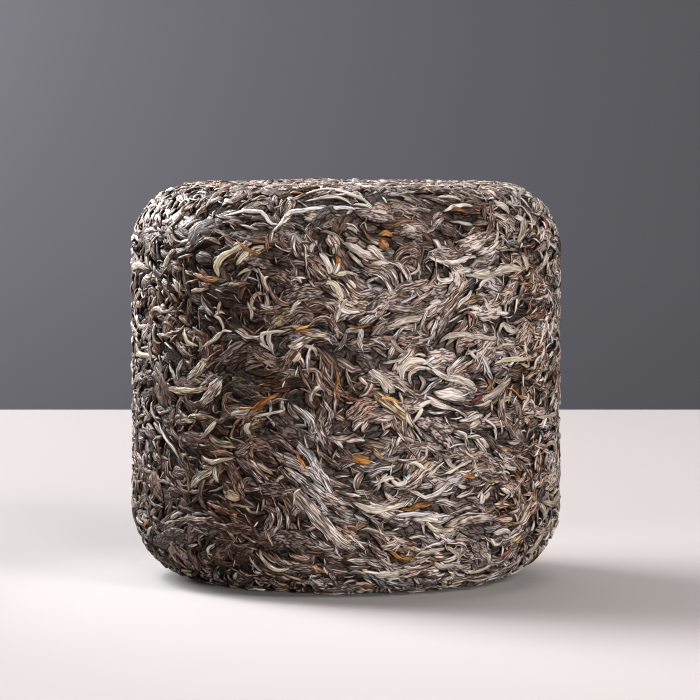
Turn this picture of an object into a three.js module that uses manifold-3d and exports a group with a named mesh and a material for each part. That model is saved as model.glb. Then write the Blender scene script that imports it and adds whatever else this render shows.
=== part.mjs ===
// A pressed tea cylinder: whole tea leaves, steamed and pressed in a round mould into one solid block.
// Millimetres, +Z up. The origin is the middle of the base, and the block stands on the plane z = 0.
// The leaves are too many to model one by one. The core's skin has bumps of their size: rows of strips that
// run round the block, a ridge along each and a groove between. The largest leaves lie across it, fused on.
import * as THREE from "three";
import { mergeVertices } from "three/addons/utils/BufferGeometryUtils.js";
import Module from "manifold-3d";

const wasm = await Module();
wasm.setup();

// The block, measured over the pressed leaves
const DIAMETER = 100;
const HEIGHT = 92;
const TOP_EDGE_RADIUS = 15;
const BASE_EDGE_RADIUS = 17;

// The strips of the core's skin: [smallest, largest], with heights over the block
const STRIP_WIDTH = 4.2;
const STRIP_LENGTH = [12, 27];
const STRIP_POINT_SPACING = 6;
const STRIP_BLUNTNESS = 0.45;
const RIDGE_HEIGHT = [-0.45, 0.3];
const GROOVE_HEIGHT = [-1.5, -0.9];
const CLOSING_AT_TIPS = 0.6;
const STRIP_WANDER = 0.3;

// The rows of strips drift up and down as they go round, which leans the leaves
const DRIFT_WAVES = [
  { reach: 4.5, roundTheBlock: 3, riseRate: 0.05, start: 0.4 },
  { reach: 2.6, roundTheBlock: 7, riseRate: -0.08, start: 2.1 },
  { reach: 1.1, roundTheBlock: 13, riseRate: 0.17, start: 4.3 },
];
const DRIFT_FADE = 14;

// The largest leaves, which lie across the strips
const LEAF_COUNT = 36;
const LEAF_LENGTH = [13, 26];
const LEAF_WIDTH = [4.6, 7];
const LEAF_RIDGE_HEIGHT = [0.2, 0.5];
const LEAF_ROOT_DEPTH = 1.3;
const LEAF_LEAN_DEG = [25, 85];
const LEAF_TURN_DEG = [-70, 70];
const LEAF_SIDES = 3;
const LEAF_RINGS = 4;
const LEAF_BLUNTNESS = 0.6;
const WALK_STEPS_PER_RING = 4;

const SEED = 4;
const GOLDEN_ANGLE = Math.PI * (3 - Math.sqrt(5));
const QUARTER_TURN = Math.PI / 2;
const MERGE_DISTANCE = 1e-3;
const RADIUS = DIAMETER / 2;
const UP = new THREE.Vector3(0, 0, 1);

// The skin's outline, in stretches from the edge of the flat base to the middle of the top
const BASE_EDGE_LENGTH = BASE_EDGE_RADIUS * QUARTER_TURN;
const WALL_LENGTH = HEIGHT - BASE_EDGE_RADIUS - TOP_EDGE_RADIUS;
const TOP_EDGE_LENGTH = TOP_EDGE_RADIUS * QUARTER_TURN;
const TOP_LENGTH = RADIUS - TOP_EDGE_RADIUS;
const SKIN_LENGTH = BASE_EDGE_LENGTH + WALL_LENGTH + TOP_EDGE_LENGTH + TOP_LENGTH;

const COLUMNS = Math.round((Math.PI * DIAMETER) / STRIP_POINT_SPACING);
const ROWS = 2 * Math.round(SKIN_LENGTH / STRIP_WIDTH);
const ROW_SPACING = SKIN_LENGTH / ROWS;

// A seeded stream of numbers from 0 to 1.
function seededDraws(seed) {
  let state = seed >>> 0;
  return () => {
    state = (state + 0x6d2b79f5) >>> 0;
    let mixed = Math.imul(state ^ (state >>> 15), state | 1);
    mixed ^= mixed + Math.imul(mixed ^ (mixed >>> 7), mixed | 61);
    return ((mixed ^ (mixed >>> 14)) >>> 0) / 2 ** 32;
  };
}

const draw = seededDraws(SEED);
const between = ([low, high]) => low + (high - low) * draw();

// The place on the outline at a distance along the skin, and the direction out of the block there.
function outlineAt(distance) {
  const edgePlace = (radius, height, angle) => {
    const out = new THREE.Vector2(Math.cos(angle), Math.sin(angle));
    return { place: new THREE.Vector2(RADIUS - radius, height).addScaledVector(out, radius), out };
  };
  let rest = distance;
  if (rest < BASE_EDGE_LENGTH)
    return edgePlace(BASE_EDGE_RADIUS, BASE_EDGE_RADIUS, rest / BASE_EDGE_RADIUS - QUARTER_TURN);
  rest -= BASE_EDGE_LENGTH;
  if (rest < WALL_LENGTH)
    return { place: new THREE.Vector2(RADIUS, BASE_EDGE_RADIUS + rest), out: new THREE.Vector2(1, 0) };
  rest -= WALL_LENGTH;
  if (rest < TOP_EDGE_LENGTH)
    return edgePlace(TOP_EDGE_RADIUS, HEIGHT - TOP_EDGE_RADIUS, rest / TOP_EDGE_RADIUS);
  rest -= TOP_EDGE_LENGTH;
  return { place: new THREE.Vector2(Math.max(0, TOP_LENGTH - rest), HEIGHT), out: new THREE.Vector2(0, 1) };
}

// How far a row has drifted along the skin at an angle round the block. It dies out at both ends.
function drift(angle, distance) {
  const waves = DRIFT_WAVES.map(
    ({ reach, roundTheBlock, riseRate, start }) =>
      reach * Math.sin(roundTheBlock * angle + riseRate * distance + start),
  );
  const fade = Math.min(1, distance / DRIFT_FADE, (SKIN_LENGTH - distance) / (TOP_LENGTH + DRIFT_FADE));
  return fade * waves.reduce((sum, wave) => sum + wave);
}

// Every point of the skin: its height over the block, and its shifts along the skin and round the block in
// shares of a row and a column. Even rows are grooves and odd rows are ridges, cut into strips by their tips,
// where the grooves close in.
function stripRelief() {
  const relief = [];
  for (let row = 0; row <= ROWS; row++) {
    const pressedFlat = row === 0 || row === ROWS;
    const points = [];
    for (let column = 0; column < COLUMNS; column++) {
      const height = pressedFlat ? 0 : between(GROOVE_HEIGHT);
      const round = pressedFlat ? 0 : STRIP_WANDER * between([-1, 1]);
      points.push({ height, along: 0, round });
    }
    relief.push(points);
  }
  for (let row = 1; row < ROWS; row += 2) {
    const girth = 2 * Math.PI * Math.max(outlineAt(row * ROW_SPACING).place.x, STRIP_WIDTH);
    const start = Math.floor(draw() * COLUMNS);
    let covered = 0;
    while (covered < COLUMNS) {
      const wanted = Math.max(2, Math.round((between(STRIP_LENGTH) * COLUMNS) / girth));
      const left = COLUMNS - covered;
      const span = left < wanted + 2 ? left : wanted;
      const ridge = between(RIDGE_HEIGHT);
      for (let step = 0; step < span; step++) {
        const point = relief[row][(start + covered + step) % COLUMNS];
        const rise = Math.sin((Math.PI * step) / span) ** STRIP_BLUNTNESS;
        if (step > 0) point.height += (ridge - point.height) * rise;
        point.along = STRIP_WANDER * between([-1, 1]);
      }
      const tip = (start + covered) % COLUMNS;
      if (row > 1) relief[row - 1][tip].along += CLOSING_AT_TIPS;
      if (row < ROWS - 1) relief[row + 1][tip].along -= CLOSING_AT_TIPS;
      covered += span;
    }
  }
  return relief;
}

// The core: a lathe of the outline whose points are moved to the relief, on a base that stays flat.
function coreGeometry() {
  const outline = [new THREE.Vector2(0, 0)];
  for (let row = 0; row <= ROWS; row++) outline.push(outlineAt(row * ROW_SPACING).place);
  const geometry = new THREE.LatheGeometry(outline, COLUMNS);
  const relief = stripRelief();
  const positions = geometry.attributes.position;
  for (let i = 0; i < positions.count; i++) {
    const row = (i % outline.length) - 1;
    if (row < 0) continue;
    const column = Math.floor(i / outline.length) % COLUMNS;
    const { height, along, round } = relief[row][column];
    const angle = (2 * Math.PI * (column + round)) / COLUMNS;
    const distance = row * ROW_SPACING;
    const moved = distance + drift(angle, distance) + along * ROW_SPACING;
    const { place, out } = outlineAt(row === ROWS ? SKIN_LENGTH : moved);
    const across = place.x + height * out.x;
    const up = Math.max(0, place.y + height * out.y);
    positions.setXYZ(i, across * Math.sin(angle), up, across * Math.cos(angle));
  }
  return geometry.rotateX(QUARTER_TURN);
}

// The foot of a point on the block's pressed surface, with the outward normal there.
function pressedSurface(point) {
  const radial = Math.hypot(point.x, point.y);
  const outward = new THREE.Vector3(1, 0, 0);
  if (radial > 0) outward.set(point.x / radial, point.y / radial, 0);
  const high = point.z > HEIGHT / 2;
  const edge = high ? TOP_EDGE_RADIUS : BASE_EDGE_RADIUS;
  const edgeHeight = high ? HEIGHT - edge : edge;
  const past = (point.z - edgeHeight) * (high ? 1 : -1);
  const overhang = radial - (RADIUS - edge);
  if (past > 0 && overhang > 0) {
    const normal = outward.clone().multiplyScalar(overhang).setZ(point.z - edgeHeight).normalize();
    const centre = outward.clone().multiplyScalar(RADIUS - edge).setZ(edgeHeight);
    return { foot: centre.addScaledVector(normal, edge), normal };
  }
  if (past > overhang) {
    const foot = new THREE.Vector3(point.x, point.y, high ? HEIGHT : 0);
    return { foot, normal: new THREE.Vector3(0, 0, high ? 1 : -1) };
  }
  return { foot: outward.clone().multiplyScalar(RADIUS).setZ(point.z), normal: outward };
}

// Points spread evenly over all but the flat base: equal shares of area, each a golden angle from the last.
function evenSpread(count) {
  const area = [0];
  for (let row = 1; row <= ROWS; row++) {
    const middle = outlineAt((row - 0.5) * ROW_SPACING).place.x;
    area.push(area[row - 1] + middle * ROW_SPACING);
  }
  const points = [];
  let row = 1;
  for (let i = 0; i < count; i++) {
    const wanted = ((i + 0.5) / count) * area[ROWS];
    while (area[row] < wanted) row++;
    const share = (wanted - area[row - 1]) / (area[row] - area[row - 1]);
    const { place } = outlineAt((row - 1 + share) * ROW_SPACING);
    const angle = i * GOLDEN_ANGLE;
    points.push(new THREE.Vector3(place.x * Math.cos(angle), place.x * Math.sin(angle), place.y));
  }
  return points;
}

// A leaf's frames along the surface: it starts behind its middle and turns evenly as it goes.
function leafFrames(middle, lean, turn, length) {
  const steps = (LEAF_RINGS - 1) * WALK_STEPS_PER_RING;
  const stride = length / steps;
  let { foot, normal } = pressedSurface(middle);
  const heading = new THREE.Vector3().crossVectors(UP, middle).normalize().applyAxisAngle(normal, lean);
  const step = () => {
    ({ foot, normal } = pressedSurface(foot.clone().addScaledVector(heading, stride)));
    heading.addScaledVector(normal, -heading.dot(normal)).normalize().applyAxisAngle(normal, turn / steps);
  };
  heading.negate();
  for (let i = 0; i < steps / 2; i++) step();
  heading.negate();
  const frames = [];
  for (let ring = 0; ring < LEAF_RINGS; ring++) {
    const side = new THREE.Vector3().crossVectors(heading, normal);
    frames.push({ foot: foot.clone(), normal: normal.clone(), side });
    for (let i = 0; i < WALK_STEPS_PER_RING; i++) step();
  }
  return frames;
}

// One rolled leaf: a three-sided spindle with a ridge along its back, laid along its frames with its flat
// underside rooted in the core.
function leafGeometry({ frames, width, ridge }) {
  const outline = frames.map((_, ring) => {
    const along = ring / (LEAF_RINGS - 1);
    return new THREE.Vector2(Math.sin(Math.PI * along) ** LEAF_BLUNTNESS, ring);
  });
  outline[0].x = 0;
  outline[LEAF_RINGS - 1].x = 0;
  const geometry = new THREE.LatheGeometry(outline, LEAF_SIDES);
  const cornerAcross = Math.sin(Math.PI / LEAF_SIDES);
  const cornerDown = Math.cos(Math.PI / LEAF_SIDES);
  const acrossScale = width / 2 / cornerAcross;
  const heightScale = (ridge + LEAF_ROOT_DEPTH) / (1 + cornerDown);
  const positions = geometry.attributes.position;
  const point = new THREE.Vector3();
  for (let i = 0; i < positions.count; i++) {
    point.fromBufferAttribute(positions, i);
    const { foot, normal, side } = frames[Math.round(point.y)];
    const place = foot
      .clone()
      .addScaledVector(side, point.x * acrossScale)
      .addScaledVector(normal, (point.z + cornerDown) * heightScale - LEAF_ROOT_DEPTH);
    positions.setXYZ(i, place.x, place.y, place.z);
  }
  return geometry;
}

function largestLeaves() {
  return evenSpread(LEAF_COUNT).map((middle) => {
    const length = between(LEAF_LENGTH);
    const lean = THREE.MathUtils.degToRad(between(LEAF_LEAN_DEG)) * Math.sign(between([-1, 1]));
    const turn = THREE.MathUtils.degToRad(between(LEAF_TURN_DEG));
    return leafGeometry({
      frames: leafFrames(middle, lean, turn, length),
      width: between(LEAF_WIDTH),
      ridge: between(LEAF_RIDGE_HEIGHT),
    });
  });
}

// A closed geometry as a solid. Seams are merged, and the flat triangles at a lathe's poles are dropped.
function solidFrom(geometry) {
  const bare = geometry.clone();
  bare.deleteAttribute("normal");
  bare.deleteAttribute("uv");
  const merged = mergeVertices(bare, MERGE_DISTANCE);
  const corners = merged.index.array;
  const triVerts = [];
  for (let i = 0; i < corners.length; i += 3) {
    const [a, b, c] = corners.subarray(i, i + 3);
    if (a !== b && b !== c && c !== a) triVerts.push(a, b, c);
  }
  return new wasm.Manifold(
    new wasm.Mesh({
      numProp: 3,
      vertProperties: merged.attributes.position.array,
      triVerts: new Uint32Array(triVerts),
    }),
  );
}

function geometryFrom(solid) {
  const { vertProperties, triVerts } = solid.getMesh();
  const geometry = new THREE.BufferGeometry();
  geometry.setAttribute("position", new THREE.BufferAttribute(new Float32Array(vertProperties), 3));
  geometry.setIndex(new THREE.BufferAttribute(new Uint32Array(triVerts), 1));
  geometry.computeVertexNormals();
  return geometry;
}

// The largest body alone, so that a hollow which joining sealed is filled and a loose scrap is dropped.
function largestBody(solid) {
  const bodies = solidFrom(geometryFrom(solid)).decompose();
  const largest = bodies.reduce((best, body) => (body.volume() > best.volume() ? body : best));
  return bodies.length > 1 ? largestBody(largest) : largest;
}

// The core and its largest leaves as one body, cut flat where the mould's floor pressed it.
function pressedBlock() {
  const core = solidFrom(coreGeometry());
  const fused = largestLeaves().reduce((block, leaf) => block.add(solidFrom(leaf)), core);
  const aboveFloor = new THREE.BoxGeometry(2 * DIAMETER, 2 * DIAMETER, 2 * HEIGHT).translate(0, 0, HEIGHT);
  return largestBody(fused.intersect(solidFrom(aboveFloor)));
}

const driedLeaf = new THREE.MeshStandardMaterial({ color: 0x5a4c45, roughness: 0.8, metalness: 0 });
const teaCylinder = new THREE.Mesh(geometryFrom(pressedBlock()), driedLeaf);
teaCylinder.name = "tea_cylinder";

const part = new THREE.Group();
part.add(teaCylinder);

export default part;
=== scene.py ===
# %% [markdown]
# # A cylinder of pressed tea
# Whole tea leaves are rolled, dried, steamed and pressed in a round mould. What comes out is one solid block
# whose skin is a mosaic of flattened leaf strips: dark rolled leaves, broad crumpled ones, pale downy buds
# and a few amber stems. This lesson makes that skin as real geometry over a dark core.

# %% Load the frame
import math
from itertools import product

import bpy
from mathutils import Matrix, Vector
from mathutils.bvhtree import BVHTree


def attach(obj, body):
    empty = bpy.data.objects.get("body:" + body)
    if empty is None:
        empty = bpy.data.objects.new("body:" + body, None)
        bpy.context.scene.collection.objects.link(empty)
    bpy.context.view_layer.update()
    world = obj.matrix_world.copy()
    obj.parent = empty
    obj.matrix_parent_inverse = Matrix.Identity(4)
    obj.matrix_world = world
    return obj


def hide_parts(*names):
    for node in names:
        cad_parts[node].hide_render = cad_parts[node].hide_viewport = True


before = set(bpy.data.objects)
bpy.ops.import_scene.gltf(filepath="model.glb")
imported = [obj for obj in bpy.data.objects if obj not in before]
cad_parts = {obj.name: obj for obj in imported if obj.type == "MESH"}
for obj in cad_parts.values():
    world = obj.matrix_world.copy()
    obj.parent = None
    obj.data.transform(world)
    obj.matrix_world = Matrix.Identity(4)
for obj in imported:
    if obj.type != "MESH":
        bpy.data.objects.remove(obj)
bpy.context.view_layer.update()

# %% [markdown]
# The block is described by a few real sizes, in metres. They are the sizes of the solid in the frame: the
# diameter and height over the leaves, and the radii of its rounded edges.

# %% The block's sizes
BLOCK_DIAMETER = 0.100
BLOCK_HEIGHT = 0.092
TOP_EDGE_RADIUS = 0.015
BASE_EDGE_RADIUS = 0.017
BLOCK_RADIUS = BLOCK_DIAMETER / 2
MM = 0.001
print("block", BLOCK_DIAMETER, "x", BLOCK_HEIGHT)

# %% [markdown]
# The camera comes first, because some leaves are placed by where the photograph shows them. A long lens about
# nine hundred millimetres away, a little above the block and tipped down, gives the photograph's flat view.

# %% The camera
PHOTO_PIXELS = 700
FOCAL_PIXELS = 3869
CAMERA_PLACE = Vector((0.0009, -0.900, 0.115))
CAMERA_PITCH_DEG = 3.95
SENSOR_WIDTH = 36

camera = bpy.data.objects.new("camera", bpy.data.cameras.new("camera"))
camera.data.sensor_width = SENSOR_WIDTH
camera.data.lens = FOCAL_PIXELS / PHOTO_PIXELS * SENSOR_WIDTH
camera.location = CAMERA_PLACE
camera.rotation_euler = (math.radians(90 - CAMERA_PITCH_DEG), 0, 0)
bpy.context.scene.collection.objects.link(camera)
bpy.context.scene.camera = camera
print("lens", round(camera.data.lens, 1), "mm")

# %% [markdown]
# Both kinds of node tree in this lesson, for shapes and for finishes, are mostly arithmetic. Nodes could be
# placed and linked one by one, but that hides the sums. One small class wraps a socket, so that an expression
# such as `1 - mask` adds the nodes that work it out.

# %% Node maths as plain Python
class Wire:
    """One output socket of a node tree. Arithmetic on wires adds the nodes that work it out."""

    def __init__(self, tree, socket=None):
        self.tree = tree
        self.socket = socket

    def node(self, kind, settings=None, sockets=None, output=0):
        """Any node: its settings are set first, then its sockets get values or links."""
        made = self.tree.nodes.new(kind)
        for name, value in (settings or {}).items():
            setattr(made, name, value)
        for key, value in (sockets or {}).items():
            if isinstance(value, Wire):
                self.tree.links.new(value.socket, made.inputs[key])
            else:
                made.inputs[key].default_value = value
        return Wire(self.tree, made.outputs[output])

    def also(self, output):
        """Another output of the node that this wire comes from."""
        return Wire(self.tree, self.socket.node.outputs[output])

    def math(self, operation, *others):
        """A Math node on this wire and up to two more numbers or wires."""
        return self.node("ShaderNodeMath", {"operation": operation}, dict(enumerate((self, *others))))

    def vector(self, operation, *others, output=0):
        """A Vector Math node on this wire and up to two more vectors."""
        operands = dict(enumerate((self, *others)))
        return self.node("ShaderNodeVectorMath", {"operation": operation}, operands, output)

    def scaled(self, factor):
        """This vector times a number."""
        return self.node("ShaderNodeVectorMath", {"operation": "SCALE"}, {0: self, "Scale": factor})

    def is_vector(self):
        return self.socket.type in {"VECTOR", "RGBA"}

    def pair(self, operation, first, second):
        """Two operands in order, by Math or, where either is a vector, by Vector Math."""
        operands = {0: first, 1: second}
        wires = [operand for operand in (first, second) if isinstance(operand, Wire)]
        if any(wire.is_vector() for wire in wires):
            return self.node("ShaderNodeVectorMath", {"operation": operation}, operands)
        return self.node("ShaderNodeMath", {"operation": operation}, operands)

    def __add__(self, other):
        return self.pair("ADD", self, other)

    def __radd__(self, other):
        return self.pair("ADD", other, self)

    def __sub__(self, other):
        return self.pair("SUBTRACT", self, other)

    def __rsub__(self, other):
        return self.pair("SUBTRACT", other, self)

    def __mul__(self, other):
        return self.pair("MULTIPLY", self, other)

    def __truediv__(self, other):
        return self.pair("DIVIDE", self, other)

    def __pow__(self, other):
        return self.pair("POWER", self, other)

    def __gt__(self, other):
        return self.pair("GREATER_THAN", self, other)

    def clamped(self):
        """This number kept between 0 and 1."""
        return self.math("MAXIMUM", 0.0).math("MINIMUM", 1.0)

    def spread(self, low, high, to_low=0.0, to_high=1.0):
        """This number mapped from one range to another, with an eased start and end."""
        return self.node(
            "ShaderNodeMapRange",
            {"interpolation_type": "SMOOTHSTEP"},
            {0: self, 1: low, 2: high, 3: to_low, 4: to_high},
        )


def joined_vector(x, y, z, tree):
    """A vector wire from three numbers or wires."""
    return Wire(tree).node("ShaderNodeCombineXYZ", None, {0: x, 1: y, 2: z})


print("node maths ready")

# %% [markdown]
# A Geometry Nodes tree has named inputs for its sizes. A modifier keeps each input under the socket's
# identifier, which isn't its name, so one helper makes the tree and another fills in a modifier by name.

# %% Geometry Nodes helpers
SOCKET_KINDS = {
    "geometry": "NodeSocketGeometry",
    "number": "NodeSocketFloat",
    "count": "NodeSocketInt",
    "material": "NodeSocketMaterial",
    "object": "NodeSocketObject",
}


def new_shape_tree(name, inputs):
    """A Geometry Nodes tree and a wire for each named input. It gives one geometry out."""
    tree = bpy.data.node_groups.new(name, "GeometryNodeTree")
    for label, kind in inputs.items():
        tree.interface.new_socket(name=label, in_out="INPUT", socket_type=SOCKET_KINDS[kind])
    tree.interface.new_socket(name="Shape", in_out="OUTPUT", socket_type=SOCKET_KINDS["geometry"])
    entry = tree.nodes.new("NodeGroupInput")
    return tree, {label: Wire(tree, entry.outputs[label]) for label in inputs}


def give_out(shape):
    """Ends a tree: the shape is its output."""
    end = shape.tree.nodes.new("NodeGroupOutput")
    shape.tree.links.new(shape.socket, end.inputs["Shape"])


def grown_mesh(name, mesh, tree, values):
    """Runs a tree on a mesh and gives the result as a plain mesh object with no modifier."""
    source = bpy.data.objects.new(name + "_source", mesh)
    bpy.context.scene.collection.objects.link(source)
    modifier = source.modifiers.new("grow", "NODES")
    modifier.node_group = tree
    for item in tree.interface.items_tree:
        if item.in_out == "INPUT" and item.name in values:
            modifier[item.identifier] = values[item.name]
    source.update_tag()
    bpy.context.view_layer.update()
    depsgraph = bpy.context.evaluated_depsgraph_get()
    evaluated = source.evaluated_get(depsgraph)
    grown = bpy.data.meshes.new_from_object(evaluated, preserve_all_data_layers=True, depsgraph=depsgraph)
    source.modifiers.remove(modifier)
    bpy.data.objects.remove(source)
    grown.name = name
    piece = bpy.data.objects.new(name, grown)
    bpy.context.scene.collection.objects.link(piece)
    return piece


def triangle_count(piece):
    return sum(len(face.vertices) - 2 for face in piece.data.polygons)


print("tree helpers ready")

# %% [markdown]
# The pressed form is the block without its leaves: a lathe of an outline with two rounded edges. Leaves are
# laid on it and follow it. A screw modifier could turn the outline, but a plain list of rings closes both
# poles exactly and keeps every face pointing out.

# %% The pressed form
FORM_COLUMNS = 120
FORM_STEP = 2.2 * MM


def block_outline(inset, step):
    """Points (radius, height) from just off the middle of the base to just off the middle of the top."""
    corners = (
        (BLOCK_RADIUS - BASE_EDGE_RADIUS, BASE_EDGE_RADIUS, BASE_EDGE_RADIUS - inset, -math.pi / 2),
        (BLOCK_RADIUS - TOP_EDGE_RADIUS, BLOCK_HEIGHT - TOP_EDGE_RADIUS, TOP_EDGE_RADIUS - inset, 0),
    )
    path = []
    for centre, height, reach, start in corners:
        steps = max(2, round(reach * math.pi / 2 / step))
        for i in range(steps + 1):
            angle = start + math.pi / 2 * i / steps
            path.append((centre + reach * math.cos(angle), height + reach * math.sin(angle)))
    middle_top, middle_base = path[-1], path[0]
    outline = []
    knots = [(0, middle_base[1]), *path, (0, middle_top[1])]
    for (r0, z0), (r1, z1) in zip(knots, knots[1:]):
        pieces = max(1, round(math.hypot(r1 - r0, z1 - z0) / step))
        for i in range(pieces):
            outline.append((r0 + (r1 - r0) * i / pieces, z0 + (z1 - z0) * i / pieces))
    return outline[1:]


def turned_mesh(name, outline, columns, low_pole, high_pole):
    """A closed mesh of revolution: rings of the outline with a point at each pole."""
    verts = [(0, 0, low_pole)]
    for radius, height in outline:
        for column in range(columns):
            angle = 2 * math.pi * column / columns
            verts.append((radius * math.cos(angle), radius * math.sin(angle), height))
    verts.append((0, 0, high_pole))
    faces = []
    last = len(verts) - 1
    for column in range(columns):
        after = (column + 1) % columns
        faces.append((0, 1 + after, 1 + column))
        for ring in range(len(outline) - 1):
            low, high = 1 + ring * columns, 1 + (ring + 1) * columns
            faces.append((low + column, low + after, high + after, high + column))
        top = 1 + (len(outline) - 1) * columns
        faces.append((top + column, top + after, last))
    mesh = bpy.data.meshes.new(name)
    mesh.from_pydata(verts, [], faces)
    mesh.polygons.foreach_set("use_smooth", [True] * len(mesh.polygons))
    return mesh


form = turned_mesh("form", block_outline(0, FORM_STEP), FORM_COLUMNS, 0, BLOCK_HEIGHT)
print("form faces:", len(form.polygons))
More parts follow.
